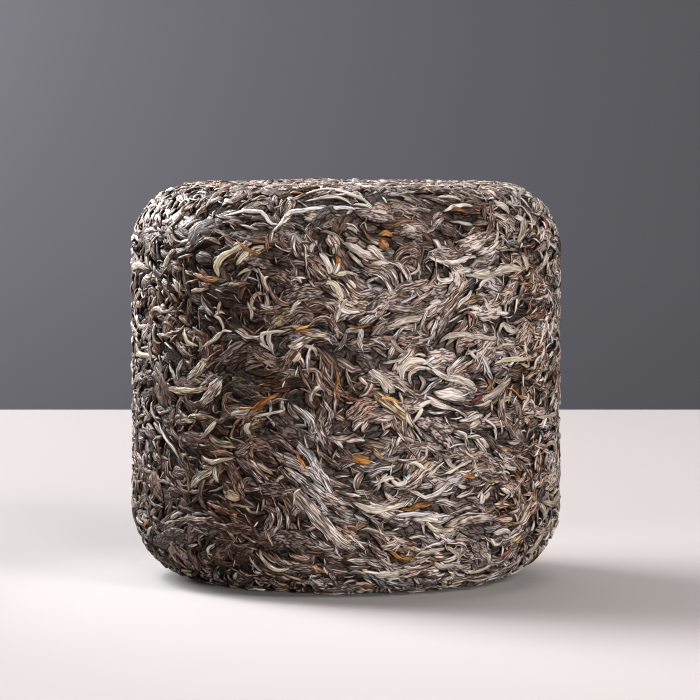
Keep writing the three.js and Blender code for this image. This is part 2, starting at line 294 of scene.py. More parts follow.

# %% [markdown]
# Some leaves in the photograph are easy to recognise: a pale hook, an orange stem, a slanting bundle. They
# are traced as a few points each, in pixels of the 700 by 700 picture. A ray from the camera through
# each point lands on the form. The traced leaves are laid along the landed points, and they also guide the
# leaves that are scattered round them.

# %% Leaves traced from the photograph
# Each leaf: width in millimetres, tone, hue, then its points from tip to tip. Tone goes from dark at 0 to
# light at 1. Hue goes from red at 0 by rust and cool grey to olive at 1.
TRACED_LEAVES = {
    "silver": [
        (1.7, 0.75, 0.94, (321, 284), (333, 284), (340, 292), (342, 305)),
        (1.8, 0.65, 0.93, (262, 235), (240, 245), (222, 257), (215, 268), (217, 279)),
        (1.5, 0.65, 0.90, (253, 248), (243, 257), (233, 266)),
        (0.9, 0.55, 0.50, (209, 315), (219, 318), (222, 326), (221, 332)),
        (1.1, 0.50, 0.85, (223, 330), (214, 339), (196, 351)),
        (0.8, 0.60, 0.50, (219, 331), (225, 330), (231, 331)),
        (1.2, 0.80, 0.50, (265, 347), (261, 337), (268, 333), (288, 331)),
        (1.2, 0.85, 0.60, (218, 215), (235, 212), (249, 210), (264, 214), (271, 223), (281, 222)),
        (1.2, 0.90, 0.60, (278, 222), (289, 212), (312, 208), (340, 206)),
        (1.2, 0.55, 0.50, (147, 314), (155, 308), (163, 312), (176, 309)),
        (1.3, 0.75, 0.50, (427, 254), (440, 261), (455, 263), (470, 257), (480, 258)),
        (1.9, 0.62, 0.85, (463, 275), (485, 275), (511, 268), (527, 273)),
        (1.7, 0.75, 0.50, (456, 272), (474, 270)),
        (1.2, 0.90, 0.50, (438, 266), (439, 277), (445, 281), (452, 279), (450, 271)),
        (2.3, 0.45, 0.50, (384, 327), (405, 321), (426, 314)),
        (1.8, 0.70, 0.50, (404, 384), (402, 371), (411, 362), (424, 361), (440, 367)),
        (1.2, 0.50, 0.50, (413, 387), (410, 375), (418, 368), (431, 369)),
        (1.1, 0.50, 0.80, (421, 392), (424, 382), (420, 375)),
        (2.0, 0.65, 0.50, (428, 366), (447, 376), (465, 382), (480, 392)),
        (1.1, 0.70, 0.50, (457, 366), (449, 370), (450, 380)),
        (2.8, 0.85, 0.50, (434, 393), (451, 395), (469, 397)),
        (1.2, 0.75, 0.80, (411, 410), (426, 402), (440, 406), (463, 411)),
        (1.0, 0.80, 0.50, (425, 396), (440, 404), (452, 408)),
        (1.7, 0.80, 0.88, (350, 502), (366, 508), (380, 510), (395, 506), (415, 504)),
        (1.3, 0.80, 0.50, (408, 490), (424, 497), (437, 494), (454, 482)),
        (2.6, 0.80, 0.50, (373, 575), (388, 576), (403, 575)),
        (1.4, 0.80, 0.50, (494, 534), (504, 531), (514, 534)),
        (1.4, 0.70, 0.93, (496, 365), (512, 359), (537, 359)),
        (1.2, 0.75, 0.50, (443, 211), (457, 205), (482, 206)),
        (1.2, 0.75, 0.50, (436, 195), (450, 196), (464, 199)),
        (1.0, 0.90, 0.50, (337, 301), (343, 309), (352, 313), (365, 310)),
        (1.0, 0.80, 0.50, (354, 296), (345, 303), (337, 316), (334, 326)),
        (1.1, 0.70, 0.50, (433, 238), (443, 251)),
        (0.7, 0.65, 0.50, (272, 397), (284, 409), (278, 413), (258, 415), (249, 423)),
        (1.9, 0.45, 0.30, (251, 420), (246, 428), (249, 437)),
        (1.5, 0.50, 0.50, (440, 345), (449, 336), (470, 335), (490, 338), (508, 341)),
        (1.5, 0.55, 0.50, (500, 337), (503, 324), (512, 331), (523, 327)),
        (2.4, 0.55, 0.50, (365, 367), (377, 376), (388, 386), (396, 394)),
        (2.0, 0.40, 0.30, (482, 402), (497, 391), (515, 377)),
        (1.4, 0.80, 0.50, (390, 477), (398, 484), (405, 482), (406, 475)),
        (1.0, 0.70, 0.50, (374, 488), (381, 481), (389, 474)),
        (1.2, 0.50, 0.90, (199, 455), (208, 461), (218, 461), (234, 457)),
        (1.3, 0.50, 0.90, (258, 549), (263, 560), (271, 569), (283, 570), (297, 567)),
        (1.1, 0.55, 0.95, (181, 328), (187, 340), (197, 347)),
        (0.8, 0.65, 0.50, (214, 546), (208, 549), (209, 555), (216, 557)),
        (0.9, 0.60, 0.50, (232, 329), (246, 337), (262, 336)),
        (1.0, 0.60, 0.50, (245, 300), (252, 313), (250, 321)),
        (0.9, 0.65, 0.50, (267, 290), (263, 283), (265, 277), (273, 275)),
        (1.2, 0.95, 0.50, (300, 193), (325, 188), (350, 193), (380, 208)),
        (1.1, 0.90, 0.50, (303, 199), (335, 196), (354, 203)),
        (1.1, 0.90, 0.50, (330, 192), (356, 196), (374, 206)),
        (1.9, 0.65, 0.50, (319, 251), (327, 264), (333, 276)),
        (1.3, 0.60, 0.50, (339, 257), (337, 268), (333, 276)),
        (1.7, 0.60, 0.50, (342, 241), (360, 251), (385, 261)),
        (1.7, 0.70, 0.50, (366, 246), (376, 252), (386, 260)),
        (1.3, 0.65, 0.50, (370, 265), (381, 262), (392, 263)),
        (0.8, 0.70, 0.50, (420, 262), (418, 270), (408, 277)),
        (2.0, 0.60, 0.50, (471, 248), (484, 241)),
        (1.6, 0.55, 0.80, (524, 254), (530, 272)),
        (1.4, 0.60, 0.80, (549, 251), (544, 268)),
        (2.1, 0.65, 0.85, (496, 203), (504, 206), (512, 213)),
        (1.4, 0.75, 0.90, (493, 212), (510, 221)),
        (1.7, 0.75, 0.50, (516, 216), (526, 221)),
        (1.7, 0.80, 0.50, (430, 304), (443, 301)),
        (1.2, 0.70, 0.50, (456, 310), (465, 299), (474, 289)),
        (0.9, 0.60, 0.50, (480, 291), (484, 283), (492, 279)),
        (1.3, 0.75, 0.50, (460, 422), (472, 419), (487, 414)),
        (1.7, 0.60, 0.50, (470, 428), (481, 418)),
        (1.3, 0.60, 0.50, (481, 437), (491, 449)),
        (1.1, 0.70, 0.50, (441, 476), (457, 468), (473, 461)),
        (1.1, 0.50, 0.90, (472, 473), (480, 470), (493, 471)),
        (1.5, 0.75, 0.50, (484, 492), (481, 506)),
        (1.2, 0.75, 0.60, (394, 517), (412, 514), (437, 514)),
        (1.2, 0.70, 0.90, (425, 519), (437, 531), (458, 526)),
        (2.3, 0.50, 0.85, (526, 557), (537, 545), (547, 529)),
        (1.3, 0.60, 0.50, (420, 556), (432, 551), (448, 548)),
        (1.8, 0.60, 0.50, (433, 565), (445, 568), (460, 566)),
        (1.5, 0.65, 0.85, (465, 575), (480, 571), (494, 565)),
        (1.3, 0.50, 0.80, (464, 583), (482, 580), (498, 575)),
        (1.3, 0.50, 0.50, (203, 438), (209, 428), (215, 419)),
        (1.5, 0.50, 0.50, (226, 417), (239, 413), (252, 408)),
        (1.2, 0.50, 0.50, (214, 465), (216, 484)),
        (1.0, 0.55, 0.50, (155, 420), (163, 436), (172, 447), (178, 462)),
        (1.1, 0.55, 0.50, (150, 400), (152, 412), (158, 424)),
    ],
    "brown": [
        (2.3, 0.45, 0.90, (183, 383), (196, 371), (208, 358)),
        (3.2, 0.40, 0.97, (370, 391), (390, 405), (413, 421)),
        (2.4, 0.55, 0.62, (288, 402), (307, 416), (312, 427), (315, 438)),
        (2.6, 0.70, 0.62, (291, 437), (311, 459), (321, 477), (337, 497)),
        (2.4, 0.55, 0.60, (266, 450), (295, 464), (309, 472), (325, 488)),
        (2.0, 0.50, 0.60, (280, 463), (300, 478), (320, 494), (340, 508)),
        (3.6, 0.65, 0.56, (287, 484), (305, 503), (322, 524), (342, 543), (358, 553)),
        (2.0, 0.55, 0.62, (288, 470), (306, 486), (330, 514)),
        (1.2, 0.45, 0.50, (268, 531), (271, 518), (267, 504)),
        (1.2, 0.50, 0.50, (277, 532), (279, 518), (275, 505)),
        (1.2, 0.45, 0.50, (286, 533), (287, 519), (283, 507)),
        (1.6, 0.60, 0.50, (368, 262), (385, 269), (396, 280), (399, 292)),
        (1.4, 0.65, 0.50, (364, 270), (380, 276), (389, 286), (391, 297)),
        (1.5, 0.60, 0.50, (378, 258), (396, 263), (408, 275), (412, 287)),
        (2.9, 0.45, 0.90, (186, 489), (200, 478), (214, 465)),
        (1.8, 0.50, 0.96, (162, 388), (187, 391), (208, 386)),
        (2.8, 0.45, 0.85, (198, 408), (207, 397), (217, 383)),
        (1.4, 0.55, 0.96, (181, 422), (194, 416), (208, 416)),
        (2.3, 0.40, 0.92, (205, 434), (219, 442), (237, 447)),
        (1.6, 0.35, 0.50, (234, 457), (248, 470), (263, 484)),
        (1.5, 0.30, 0.50, (240, 453), (254, 467), (270, 482)),
        (2.6, 0.35, 0.96, (221, 489), (229, 494), (239, 500)),
        (1.1, 0.65, 0.50, (345, 563), (358, 561), (373, 562)),
        (1.1, 0.60, 0.50, (345, 569), (358, 568), (373, 568)),
        (1.1, 0.65, 0.50, (346, 575), (358, 573), (372, 574)),
        (3.0, 0.55, 0.50, (330, 231), (334, 243), (336, 256)),
        (2.8, 0.35, 0.10, (442, 310), (454, 300), (465, 290)),
        (2.4, 0.45, 0.50, (387, 297), (408, 287), (432, 280)),
        (2.8, 0.50, 0.30, (445, 528), (462, 520), (480, 519), (504, 518)),
        (2.6, 0.50, 0.50, (380, 549), (394, 545), (409, 540)),
        (2.2, 0.50, 0.50, (285, 347), (300, 342), (316, 336)),
        (2.6, 0.50, 0.20, (290, 363), (294, 356), (298, 348)),
        (3.2, 0.40, 0.50, (208, 398), (214, 388), (221, 376)),
        (1.5, 0.45, 0.50, (352, 430), (360, 420), (374, 414)),
        (1.5, 0.45, 0.50, (322, 398), (330, 412), (328, 428)),
    ],
    "dark": [
        (2.2, 0.35, 0.50, (394, 264), (402, 251), (414, 247), (421, 257)),
        (1.8, 0.30, 0.50, (398, 270), (405, 261), (413, 260)),
        (2.0, 0.35, 0.50, (303, 330), (320, 318), (333, 325), (338, 340)),
        (1.8, 0.40, 0.50, (298, 312), (312, 303), (328, 306), (336, 318)),
        (1.8, 0.40, 0.50, (322, 360), (326, 376), (336, 388), (352, 394)),
        (1.6, 0.40, 0.50, (316, 366), (320, 382), (330, 396)),
        (2.2, 0.35, 0.50, (262, 436), (280, 442), (296, 455)),
        (2.0, 0.30, 0.50, (158, 528), (185, 520), (214, 524), (240, 536)),
    ],
    "amber": [
        (1.4, 0.34, 0.20, (189, 274), (205, 278), (223, 281)),
        (1.6, 0.34, 0.22, (248, 416), (262, 404), (279, 392)),
        (2.2, 0.45, 0.45, (380, 238), (384, 243), (390, 248)),
        (1.3, 0.50, 0.95, (378, 235), (386, 232), (394, 236)),
        (1.5, 0.60, 0.50, (314, 566), (320, 576)),
        (2.4, 0.35, 0.93, (350, 455), (361, 459), (374, 461)),
        (1.7, 0.34, 0.40, (361, 583), (374, 591)),
        (1.6, 0.36, 0.98, (398, 562), (414, 558)),
        (1.4, 0.40, 0.95, (337, 254), (339, 266), (335, 278)),
        (1.0, 0.28, 0.40, (336, 368), (338, 380), (336, 390), (340, 402)),
        (1.0, 0.28, 0.40, (488, 376), (491, 385), (486, 393)),
        (1.3, 0.25, 0.30, (346, 327), (358, 327), (373, 325)),
        (1.0, 0.34, 0.95, (290, 333), (303, 331), (315, 331)),
        (1.3, 0.25, 0.90, (400, 510), (417, 507), (436, 502)),
        (1.2, 0.30, 0.30, (233, 238), (248, 251), (262, 255)),
        (1.0, 0.40, 0.50, (418, 186), (436, 187)),
    ],
    "red": [
        (0.8, 0.45, 0.50, (462, 317), (468, 313), (474, 316), (475, 324), (469, 331)),
        (0.8, 0.50, 0.50, (491, 197), (490, 206), (491, 216)),
        (1.1, 0.50, 0.50, (202, 500), (220, 509), (238, 517)),
        (1.4, 0.50, 0.50, (501, 560), (514, 546)),
        (0.9, 0.45, 0.50, (340, 395), (352, 399), (366, 404)),
        (0.9, 0.40, 0.50, (358, 424), (364, 414), (374, 408)),
        (1.4, 0.35, 0.50, (471, 402), (486, 396)),
    ],
    "plate": [
        (4.2, 0.10, 0.60, (268, 416), (285, 427), (304, 438)),
        (5.2, 0.08, 0.60, (187, 251), (198, 230), (219, 223)),
        (3.2, 0.10, 0.60, (192, 256), (204, 258), (214, 264)),
        (4.6, 0.40, 0.50, (280, 300), (300, 293), (324, 291)),
        (4.0, 0.30, 0.10, (288, 326), (300, 316), (316, 319)),
        (3.4, 0.35, 0.98, (267, 327), (279, 318), (291, 312)),
        (4.4, 0.15, 0.60, (230, 383), (246, 390), (260, 400)),
        (4.2, 0.55, 0.50, (416, 422), (434, 425), (456, 433)),
        (3.6, 0.15, 0.60, (355, 356), (368, 362), (376, 372)),
        (4.6, 0.12, 0.60, (312, 228), (326, 215), (340, 210)),
        (4.6, 0.25, 0.50, (262, 545), (290, 540), (322, 550)),
        (4.0, 0.20, 0.50, (146, 546), (172, 538), (200, 536)),
        (4.2, 0.15, 0.60, (460, 526), (474, 532), (490, 540)),
        (3.8, 0.50, 0.50, (362, 313), (378, 305), (394, 299)),
        (3.6, 0.35, 0.10, (242, 258), (258, 262), (272, 268)),
    ],
}
print(sum(map(len, TRACED_LEAVES.values())), "leaves traced")

# %% [markdown]
# Each traced line is drawn again as a smooth curve with a fixed number of points, so that all leaves have the
# same number of rings. The points go into one loose mesh that carries each leaf's sizes. The photograph shows
# one side only, so the lines are also carried round the block twice, once upside down and both times darker.
# That gives the hidden sides leaves of the same kinds, which scattered leaves alone would not.

# %% Traced lines on the form
TRACED_RINGS = 12
# How many degrees round the block the lines are laid, and whether upside down
TRACE_TURNS = [(0, False), (120, True), (240, False)]
CARRIED_TONE = 0.75
form_rays = BVHTree.FromPolygons(
    [corner.co for corner in form.vertices], [tuple(face.vertices) for face in form.polygons]
)


def landed(pixel):
    """Where the camera's ray through a pixel meets the form, and the direction out of the form there."""
    right = (pixel[0] - PHOTO_PIXELS / 2) / FOCAL_PIXELS
    up = (PHOTO_PIXELS / 2 - pixel[1]) / FOCAL_PIXELS
    pitch = math.radians(CAMERA_PITCH_DEG)
    ahead = Vector((0, math.cos(pitch), -math.sin(pitch)))
    above = Vector((0, math.sin(pitch), math.cos(pitch)))
    heading = (ahead + Vector((1, 0, 0)) * right + above * up).normalized()
    place, outward, _, _ = form_rays.ray_cast(CAMERA_PLACE, heading)
    return place, outward


def smooth_trace(points, count):
    """A traced line drawn again as evenly numbered points on a smooth curve through its points."""
    ends = [Vector(point) for point in points]
    ends = [ends[0] * 2 - ends[1], *ends, ends[-1] * 2 - ends[-2]]
    drawn = []
    for i in range(count):
        reach = i / (count - 1) * (len(points) - 1)
        span = min(int(reach), len(points) - 2)
        t = reach - span
        before, start, end, after = ends[span : span + 4]
        bend = before * 2 - start * 5 + end * 4 - after
        swing = start * 3 - before - end * 3 + after
        drawn.append((start * 2 + (end - before) * t + bend * t**2 + swing * t**3) / 2)
    return drawn


def carried(place, outward, degrees, upside_down):
    """A traced place carried round the block, upside down where asked, and set on the form again."""
    if not degrees:
        return place, outward
    if upside_down:
        place = Vector((-place.x, place.y, BLOCK_HEIGHT - place.z))
    place = Matrix.Rotation(math.radians(degrees), 3, "Z") @ place
    place, outward, _, _ = form_rays.find_nearest(place)
    return place, outward


def traced_points(leaves):
    """A mesh of loose points, ring after ring and leaf after leaf, with each leaf's sizes on its points."""
    values = {"length": [], "width": [], "leaf_tone": [], "leaf_hue": []}
    vectors = {"outward": [], "heading": []}
    numbers = {"leaf": [], "ring": []}
    spots = []
    for number, (turn, (width, tone, hue, *points)) in enumerate(product(TRACE_TURNS, leaves)):
        landings = [carried(*landed(pixel), *turn) for pixel in smooth_trace(points, TRACED_RINGS)]
        places = [place for place, _ in landings]
        length = sum((b - a).length for a, b in zip(places, places[1:]))
        tone = tone * CARRIED_TONE if turn[0] else tone
        spots.extend(places)
        numbers["leaf"].extend([number] * TRACED_RINGS)
        numbers["ring"].extend(range(TRACED_RINGS))
        for name, value in zip(values, (length, width * MM, tone, hue)):
            values[name].extend([value] * TRACED_RINGS)
        for ring, (_, outward) in enumerate(landings):
            ahead, behind = places[min(ring + 1, TRACED_RINGS - 1)], places[max(ring - 1, 0)]
            vectors["outward"].extend(outward)
            vectors["heading"].extend((ahead - behind).normalized())
    mesh = bpy.data.meshes.new("traced_points")
    mesh.from_pydata(spots, [], [])
    for name, stored in numbers.items():
        mesh.attributes.new(name, "INT", "POINT").data.foreach_set("value", stored)
    for name, stored in values.items():
        mesh.attributes.new(name, "FLOAT", "POINT").data.foreach_set("value", stored)
    for name, stored in vectors.items():
        mesh.attributes.new(name, "FLOAT_VECTOR", "POINT").data.foreach_set("vector", stored)
    return mesh


every_trace = [leaf for leaves in TRACED_LEAVES.values() for leaf in leaves]
guide = bpy.data.objects.new("guide", traced_points(every_trace))
print(len(guide.data.vertices), "points guide the grain")

# %% [markdown]
# Leaves of one tone or colour lie in clumps, because they were pressed in by the handful. The clumps that
# the photograph shows are placed as round patches whose strength fades to their edge. Some of them are
# painted light and shade, in full or in part: leaves are lighter along the left edge, at the upper left
# corner and along the base, darker over the left front, and warmer on the right side. Painting the tone on
# the form would work too, but a leaf would then change colour along itself. Here each leaf takes its tone
# from where it starts.

# %% Clumps of tone and hue
# Each clump: the middle and radius in pixels, then the change of tone or the wanted hue.
# Painted light among them: the lighter clumps along the left edge, at the upper left corner and along the
# base; the broad dark clumps over the left front are partly painted shade
TONE_AND_LIGHT_PLACES = [
    (190, 255, 40, -0.25), (233, 385, 26, -0.40), (283, 420, 24, -0.35), (200, 500, 60, -0.20),
    (165, 390, 24, -0.20), (335, 385, 30, -0.22), (488, 236, 28, -0.45), (500, 540, 30, -0.15),
    (440, 198, 60, -0.48), (435, 378, 36, 0.35), (475, 266, 34, 0.15), (420, 518, 46, 0.80),
    (320, 495, 26, 0.30), (370, 258, 34, 0.22), (440, 480, 30, 0.12), (318, 205, 40, 0.75),
    (168, 208, 24, 0.75), (262, 204, 36, -0.30), (141, 280, 18, 0.50), (141, 350, 18, 0.45),
    (141, 420, 18, 0.35), (300, 582, 34, 0.35), (370, 582, 34, 0.45), (440, 580, 34, 0.45),
    (500, 570, 26, 0.30), (215, 310, 95, -0.16), (225, 420, 95, -0.18), (215, 520, 80, -0.18),
    (265, 460, 34, -0.25), (305, 405, 24, -0.20), (160, 455, 26, -0.15), (160, 505, 26, -0.15),
    (152, 520, 24, -0.15), (553, 280, 20, -0.40), (525, 255, 36, -0.32), (525, 310, 36, -0.30),
    (520, 450, 40, -0.28), (553, 360, 20, -0.45), (553, 375, 24, -0.60), (475, 310, 30, 0.40),
    (400, 365, 26, 0.12), (475, 415, 26, 0.20), (335, 530, 28, 0.15),
]
# The three broad rusty clumps on the right side (radius 90, hue 0.22) are partly leaf colour and partly
# painted warm light
HUE_AND_WARM_LIGHT_PLACES = [
    (415, 270, 36, 0.66), (330, 335, 34, 0.66), (283, 420, 30, 0.66), (365, 362, 28, 0.66),
    (440, 428, 30, 0.62), (360, 300, 34, 0.64), (350, 465, 34, 0.62), (318, 310, 32, 0.64),
    (300, 440, 34, 0.64), (415, 200, 30, 0.62), (200, 230, 24, 0.66), (330, 215, 24, 0.64),
    (225, 268, 36, 0.95), (285, 320, 28, 0.95), (502, 208, 26, 0.92), (400, 405, 22, 0.95),
    (335, 385, 34, 0.05), (175, 280, 26, 0.15), (365, 412, 20, 0.04), (215, 505, 26, 0.06),
    (535, 270, 90, 0.22), (530, 370, 90, 0.22), (520, 490, 90, 0.22), (165, 290, 90, 0.24),
    (175, 430, 90, 0.26),
]
HUE_PULL = 0.92
# The share of a clump's radius, or of a guide's reach, that has its full strength
FULL_SHARE = 0.3
# The size of a pixel on the front of the block
PIXEL = 0.22 * MM


def clumps(place, places):
    """How near a place is to each clump, from 1 in its middle to 0 at its edge, with the clump's value."""
    for x, y, radius, value in places:
        centre, _ = landed((x, y))
        reach = place.vector("DISTANCE", tuple(centre), output="Value") / (radius * PIXEL)
        yield reach.spread(FULL_SHARE, 1.0, 1.0, 0.0), value


def tone_and_light_shift(place):
    """Where the photograph shows a light or dark clump, leaves that start there are lighter or darker."""
    shift = 0.0
    for nearness, change in clumps(place, TONE_AND_LIGHT_PLACES):
        shift = shift + nearness * change
    return shift


def hue_near(place, hue):
    """Where the photograph shows a cool, olive or reddish clump, leaves that start there lean to its hue."""
    for nearness, wanted in clumps(place, HUE_AND_WARM_LIGHT_PLACES):
        hue = hue + (wanted - hue) * nearness * HUE_PULL
    return hue


print(len(TONE_AND_LIGHT_PLACES), "clumps of tone and", len(HUE_AND_WARM_LIGHT_PLACES), "of hue")

# %% [markdown]
# One tree lays every kind of leaf. It scatters anchors on the form, then lets each leaf grow forward from its
# anchor in small steps that follow a swirling grain, the way wet leaves slide round each other in the mould.
# Then it lays a squashed tube along each path: flat below, crinkled above, tapered at both tips. Growing the
# paths in a repeat zone makes neighbours run side by side, which single bent copies would not.

# %% The leaf's inputs and small helpers
LEAF_INPUTS = {
    "Form": "geometry",
    "Guide": "object",
    "Seed": "count",
    "Spacing": "number",
    "Thinning": "number",
    "Rings": "count",
    "Sides": "count",
    "Shortest": "number",
    "Longest": "number",
    "Narrowest": "number",
    "Widest": "number",
    "Thinnest": "number",
    "Thickest": "number",
    "Deepest": "number",
    "Highest": "number",
    "Lean": "number",
    "Curl": "number",
    "Roll": "number",
    "Crinkle": "number",
    "Finish": "material",
}
FLOOR_LIMIT = (-1.0, -1.0, 0.0)


def keep(geometry, name, value, kind="FLOAT"):
    """Stores a value on the points of a geometry."""
    return geometry.node(
        "GeometryNodeStoreNamedAttribute",
        {"data_type": kind, "domain": "POINT"},
        {"Geometry": geometry, "Name": name, "Value": value},
    )


def kept(tree, name, kind="FLOAT"):
    """Reads a stored value back."""
    return Wire(tree).node("GeometryNodeInputNamedAttribute", {"data_type": kind}, {"Name": name})


def path_value(paths, value, index):
    """A vector read from the paths at a point's number."""
    return paths.node(
        "GeometryNodeSampleIndex",
        {"data_type": "FLOAT_VECTOR", "domain": "POINT", "clamp": True},
        {"Geometry": paths, "Value": value, "Index": index},
    )


def noise(vector, scale, detail=2.0, output="Fac"):
    """A noise texture at a place, at a number of lumps a metre or a unit."""
    sockets = {"Vector": vector, "Scale": scale, "Detail": detail}
    return vector.node("ShaderNodeTexNoise", None, sockets, output)


def above_floor(place):
    """A place kept from sinking below the surface that the block stands on."""
    return place.vector("MAXIMUM", FLOOR_LIMIT)


print("leaf inputs:", ", ".join(LEAF_INPUTS))

# %% [markdown]
# The grain is a heading at each place on the form. A sweep direction that is mostly upright, bent by smooth
# noise, is crossed with the direction out of the form. That gives a heading that lies in the surface and runs
# mostly round the block in swirls. Patches of a dozen millimetres lean together, as clumps of leaf do. Near a
# traced leaf the heading bends to follow it.

# %% The grain
GRAIN_SIZE = 14 * MM
GRAIN_SWIRL = 2.2
GRAIN_ROUND_BIAS = 0.62
PATCH_SIZE = 13 * MM
PATCH_LEAN = math.radians(80)
THIN_PATCH_SIZE = 17 * MM
THIN_PATCH_SPAN = (0.35, 0.6)
MOST_ANCHORS = 1.0 / MM**2
SEED_STEP = 31
SKEW_RANGE = (0.65, 1.5)
TONE_PATCH_SIZE = 11 * MM
TONE_PATCH_SHARE = 0.35
# Painted light: leaves towards +x, the key lamp's side, are lighter and those towards -x darker, by this much
# at the sides
PAINTED_SIDE_LIGHT = 0.25
TONE_RANGE = (0.17, 0.80)
HUE_RANGE = (0.1, 0.9)
HUE_PATCH_SIZE = 9 * MM
HUE_PATCH_SHARE = 0.8
GUIDE_REACH = 3.5 * MM
GUIDE_PULL = 0.5
STIFFNESS = 0.6
FORWARD_BIAS = 0.001


def out_of_form(form_wire, place):
    """The direction out of the form nearest to a place."""
    normal = place.node("GeometryNodeInputNormal")
    sampled = place.node(
        "GeometryNodeSampleNearestSurface",
        {"data_type": "FLOAT_VECTOR"},
        {"Mesh": form_wire, "Value": normal, "Sample Position": place},
    )
    return sampled.vector("NORMALIZE")


def grain_heading(given, place, outward, turn):
    """The way leaves run at a place: round the block in swirls, turned by an angle, or along a near guide."""
    swirl = (noise(place, 1 / GRAIN_SIZE, 1.0, "Color") - (0.5, 0.5, 0.5)).scaled(GRAIN_SWIRL)
    sweep = swirl + (0, 0, GRAIN_ROUND_BIAS)
    heading = sweep.vector("CROSS_PRODUCT", outward).vector("NORMALIZE")
    heading = heading.node(
        "ShaderNodeVectorRotate",
        {"rotation_type": "AXIS_ANGLE"},
        {"Vector": heading, "Axis": outward, "Angle": turn},
    )
    guides = given["Guide"].node("GeometryNodeObjectInfo", None, {"Object": given["Guide"]}, "Geometry")
    nearest = guides.node("GeometryNodeSampleNearest", None, {"Geometry": guides, "Sample Position": place})
    guide_place = path_value(guides, place.node("GeometryNodeInputPosition"), nearest)
    guide_heading = path_value(guides, kept(place.tree, "heading", "FLOAT_VECTOR"), nearest)
    away = place.vector("DISTANCE", guide_place, output="Value") / GUIDE_REACH
    pull = away.spread(FULL_SHARE, 1.0, GUIDE_PULL, 0.0)
    agreement = heading.vector("DOT_PRODUCT", guide_heading, output="Value").math("SIGN")
    blended = heading.scaled(1 - pull) + guide_heading.scaled(pull * agreement)
    return blended.vector("NORMALIZE")


def leaf_anchors(given):
    """Points spread over the form, each with the sizes of its leaf."""
    form_wire = given["Form"]
    place = form_wire.node("GeometryNodeInputPosition")
    thin = noise(place, 1 / THIN_PATCH_SIZE, 1.0).spread(*THIN_PATCH_SPAN, 1 - given["Thinning"], 1.0)
    anchors = form_wire.node(
        "GeometryNodeDistributePointsOnFaces",
        {"distribute_method": "POISSON"},
        {
            "Mesh": form_wire,
            "Distance Min": given["Spacing"],
            "Density Max": MOST_ANCHORS,
            "Density Factor": thin,
            "Seed": given["Seed"],
        },
    )
    streams = iter(range(SEED_STEP))

    def drawn(low, high):
        seed = given["Seed"] * SEED_STEP + next(streams)
        settings = {"data_type": "FLOAT"}
        return form_wire.node("FunctionNodeRandomValue", settings, {2: low, 3: high, "Seed": seed}, 1)

    patch = place.node("ShaderNodeTexVoronoi", None, {"Vector": place, "Scale": 1 / PATCH_SIZE}, "Color")
    patch_turn = patch.node("ShaderNodeSeparateXYZ", None, {0: patch}) - 0.5
    patch_tone = (noise(place, 1 / TONE_PATCH_SIZE, 1.0) - 0.5) * TONE_PATCH_SHARE
    # painted light across the block, lighter towards the key lamp's side
    painted_side_light = place.node("ShaderNodeSeparateXYZ", None, {0: place}) / BLOCK_RADIUS * PAINTED_SIDE_LIGHT
    size = drawn(0.0, 1.0)
    thickness = drawn(given["Thinnest"], given["Thickest"])
    anchors = keep(anchors, "leaf", form_wire.node("GeometryNodeInputIndex"), "INT")
    anchors = keep(anchors, "length", given["Shortest"] + (given["Longest"] - given["Shortest"]) * size)
    anchors = keep(anchors, "width", drawn(given["Narrowest"], given["Widest"]))
    anchors = keep(anchors, "thickness", thickness)
    anchors = keep(anchors, "lift", drawn(given["Deepest"], given["Highest"]) - thickness)
    anchors = keep(anchors, "lean", drawn(-1.0, 1.0) * given["Lean"] + patch_turn * PATCH_LEAN)
    anchors = keep(anchors, "curl", drawn(-1.0, 1.0) * drawn(0.0, 1.0) * given["Curl"])
    anchors = keep(anchors, "roll", drawn(-1.0, 1.0) * given["Roll"])
    anchors = keep(anchors, "twist", drawn(-1.0, 1.0) * given["Roll"])
    anchors = keep(anchors, "skew", drawn(*SKEW_RANGE))
    patch_hue = (noise(place, 1 / HUE_PATCH_SIZE, 1.0) - 0.5) * HUE_PATCH_SHARE
    hue = hue_near(place, (drawn(*HUE_RANGE) + patch_hue).clamped())
    # the clumps add leaf tone and, in places, painted light and shade
    tone = drawn(*TONE_RANGE) + patch_tone + painted_side_light + tone_and_light_shift(place)
    anchors = keep(anchors, "leaf_hue", hue)
    return keep(anchors, "leaf_tone", tone.clamped())


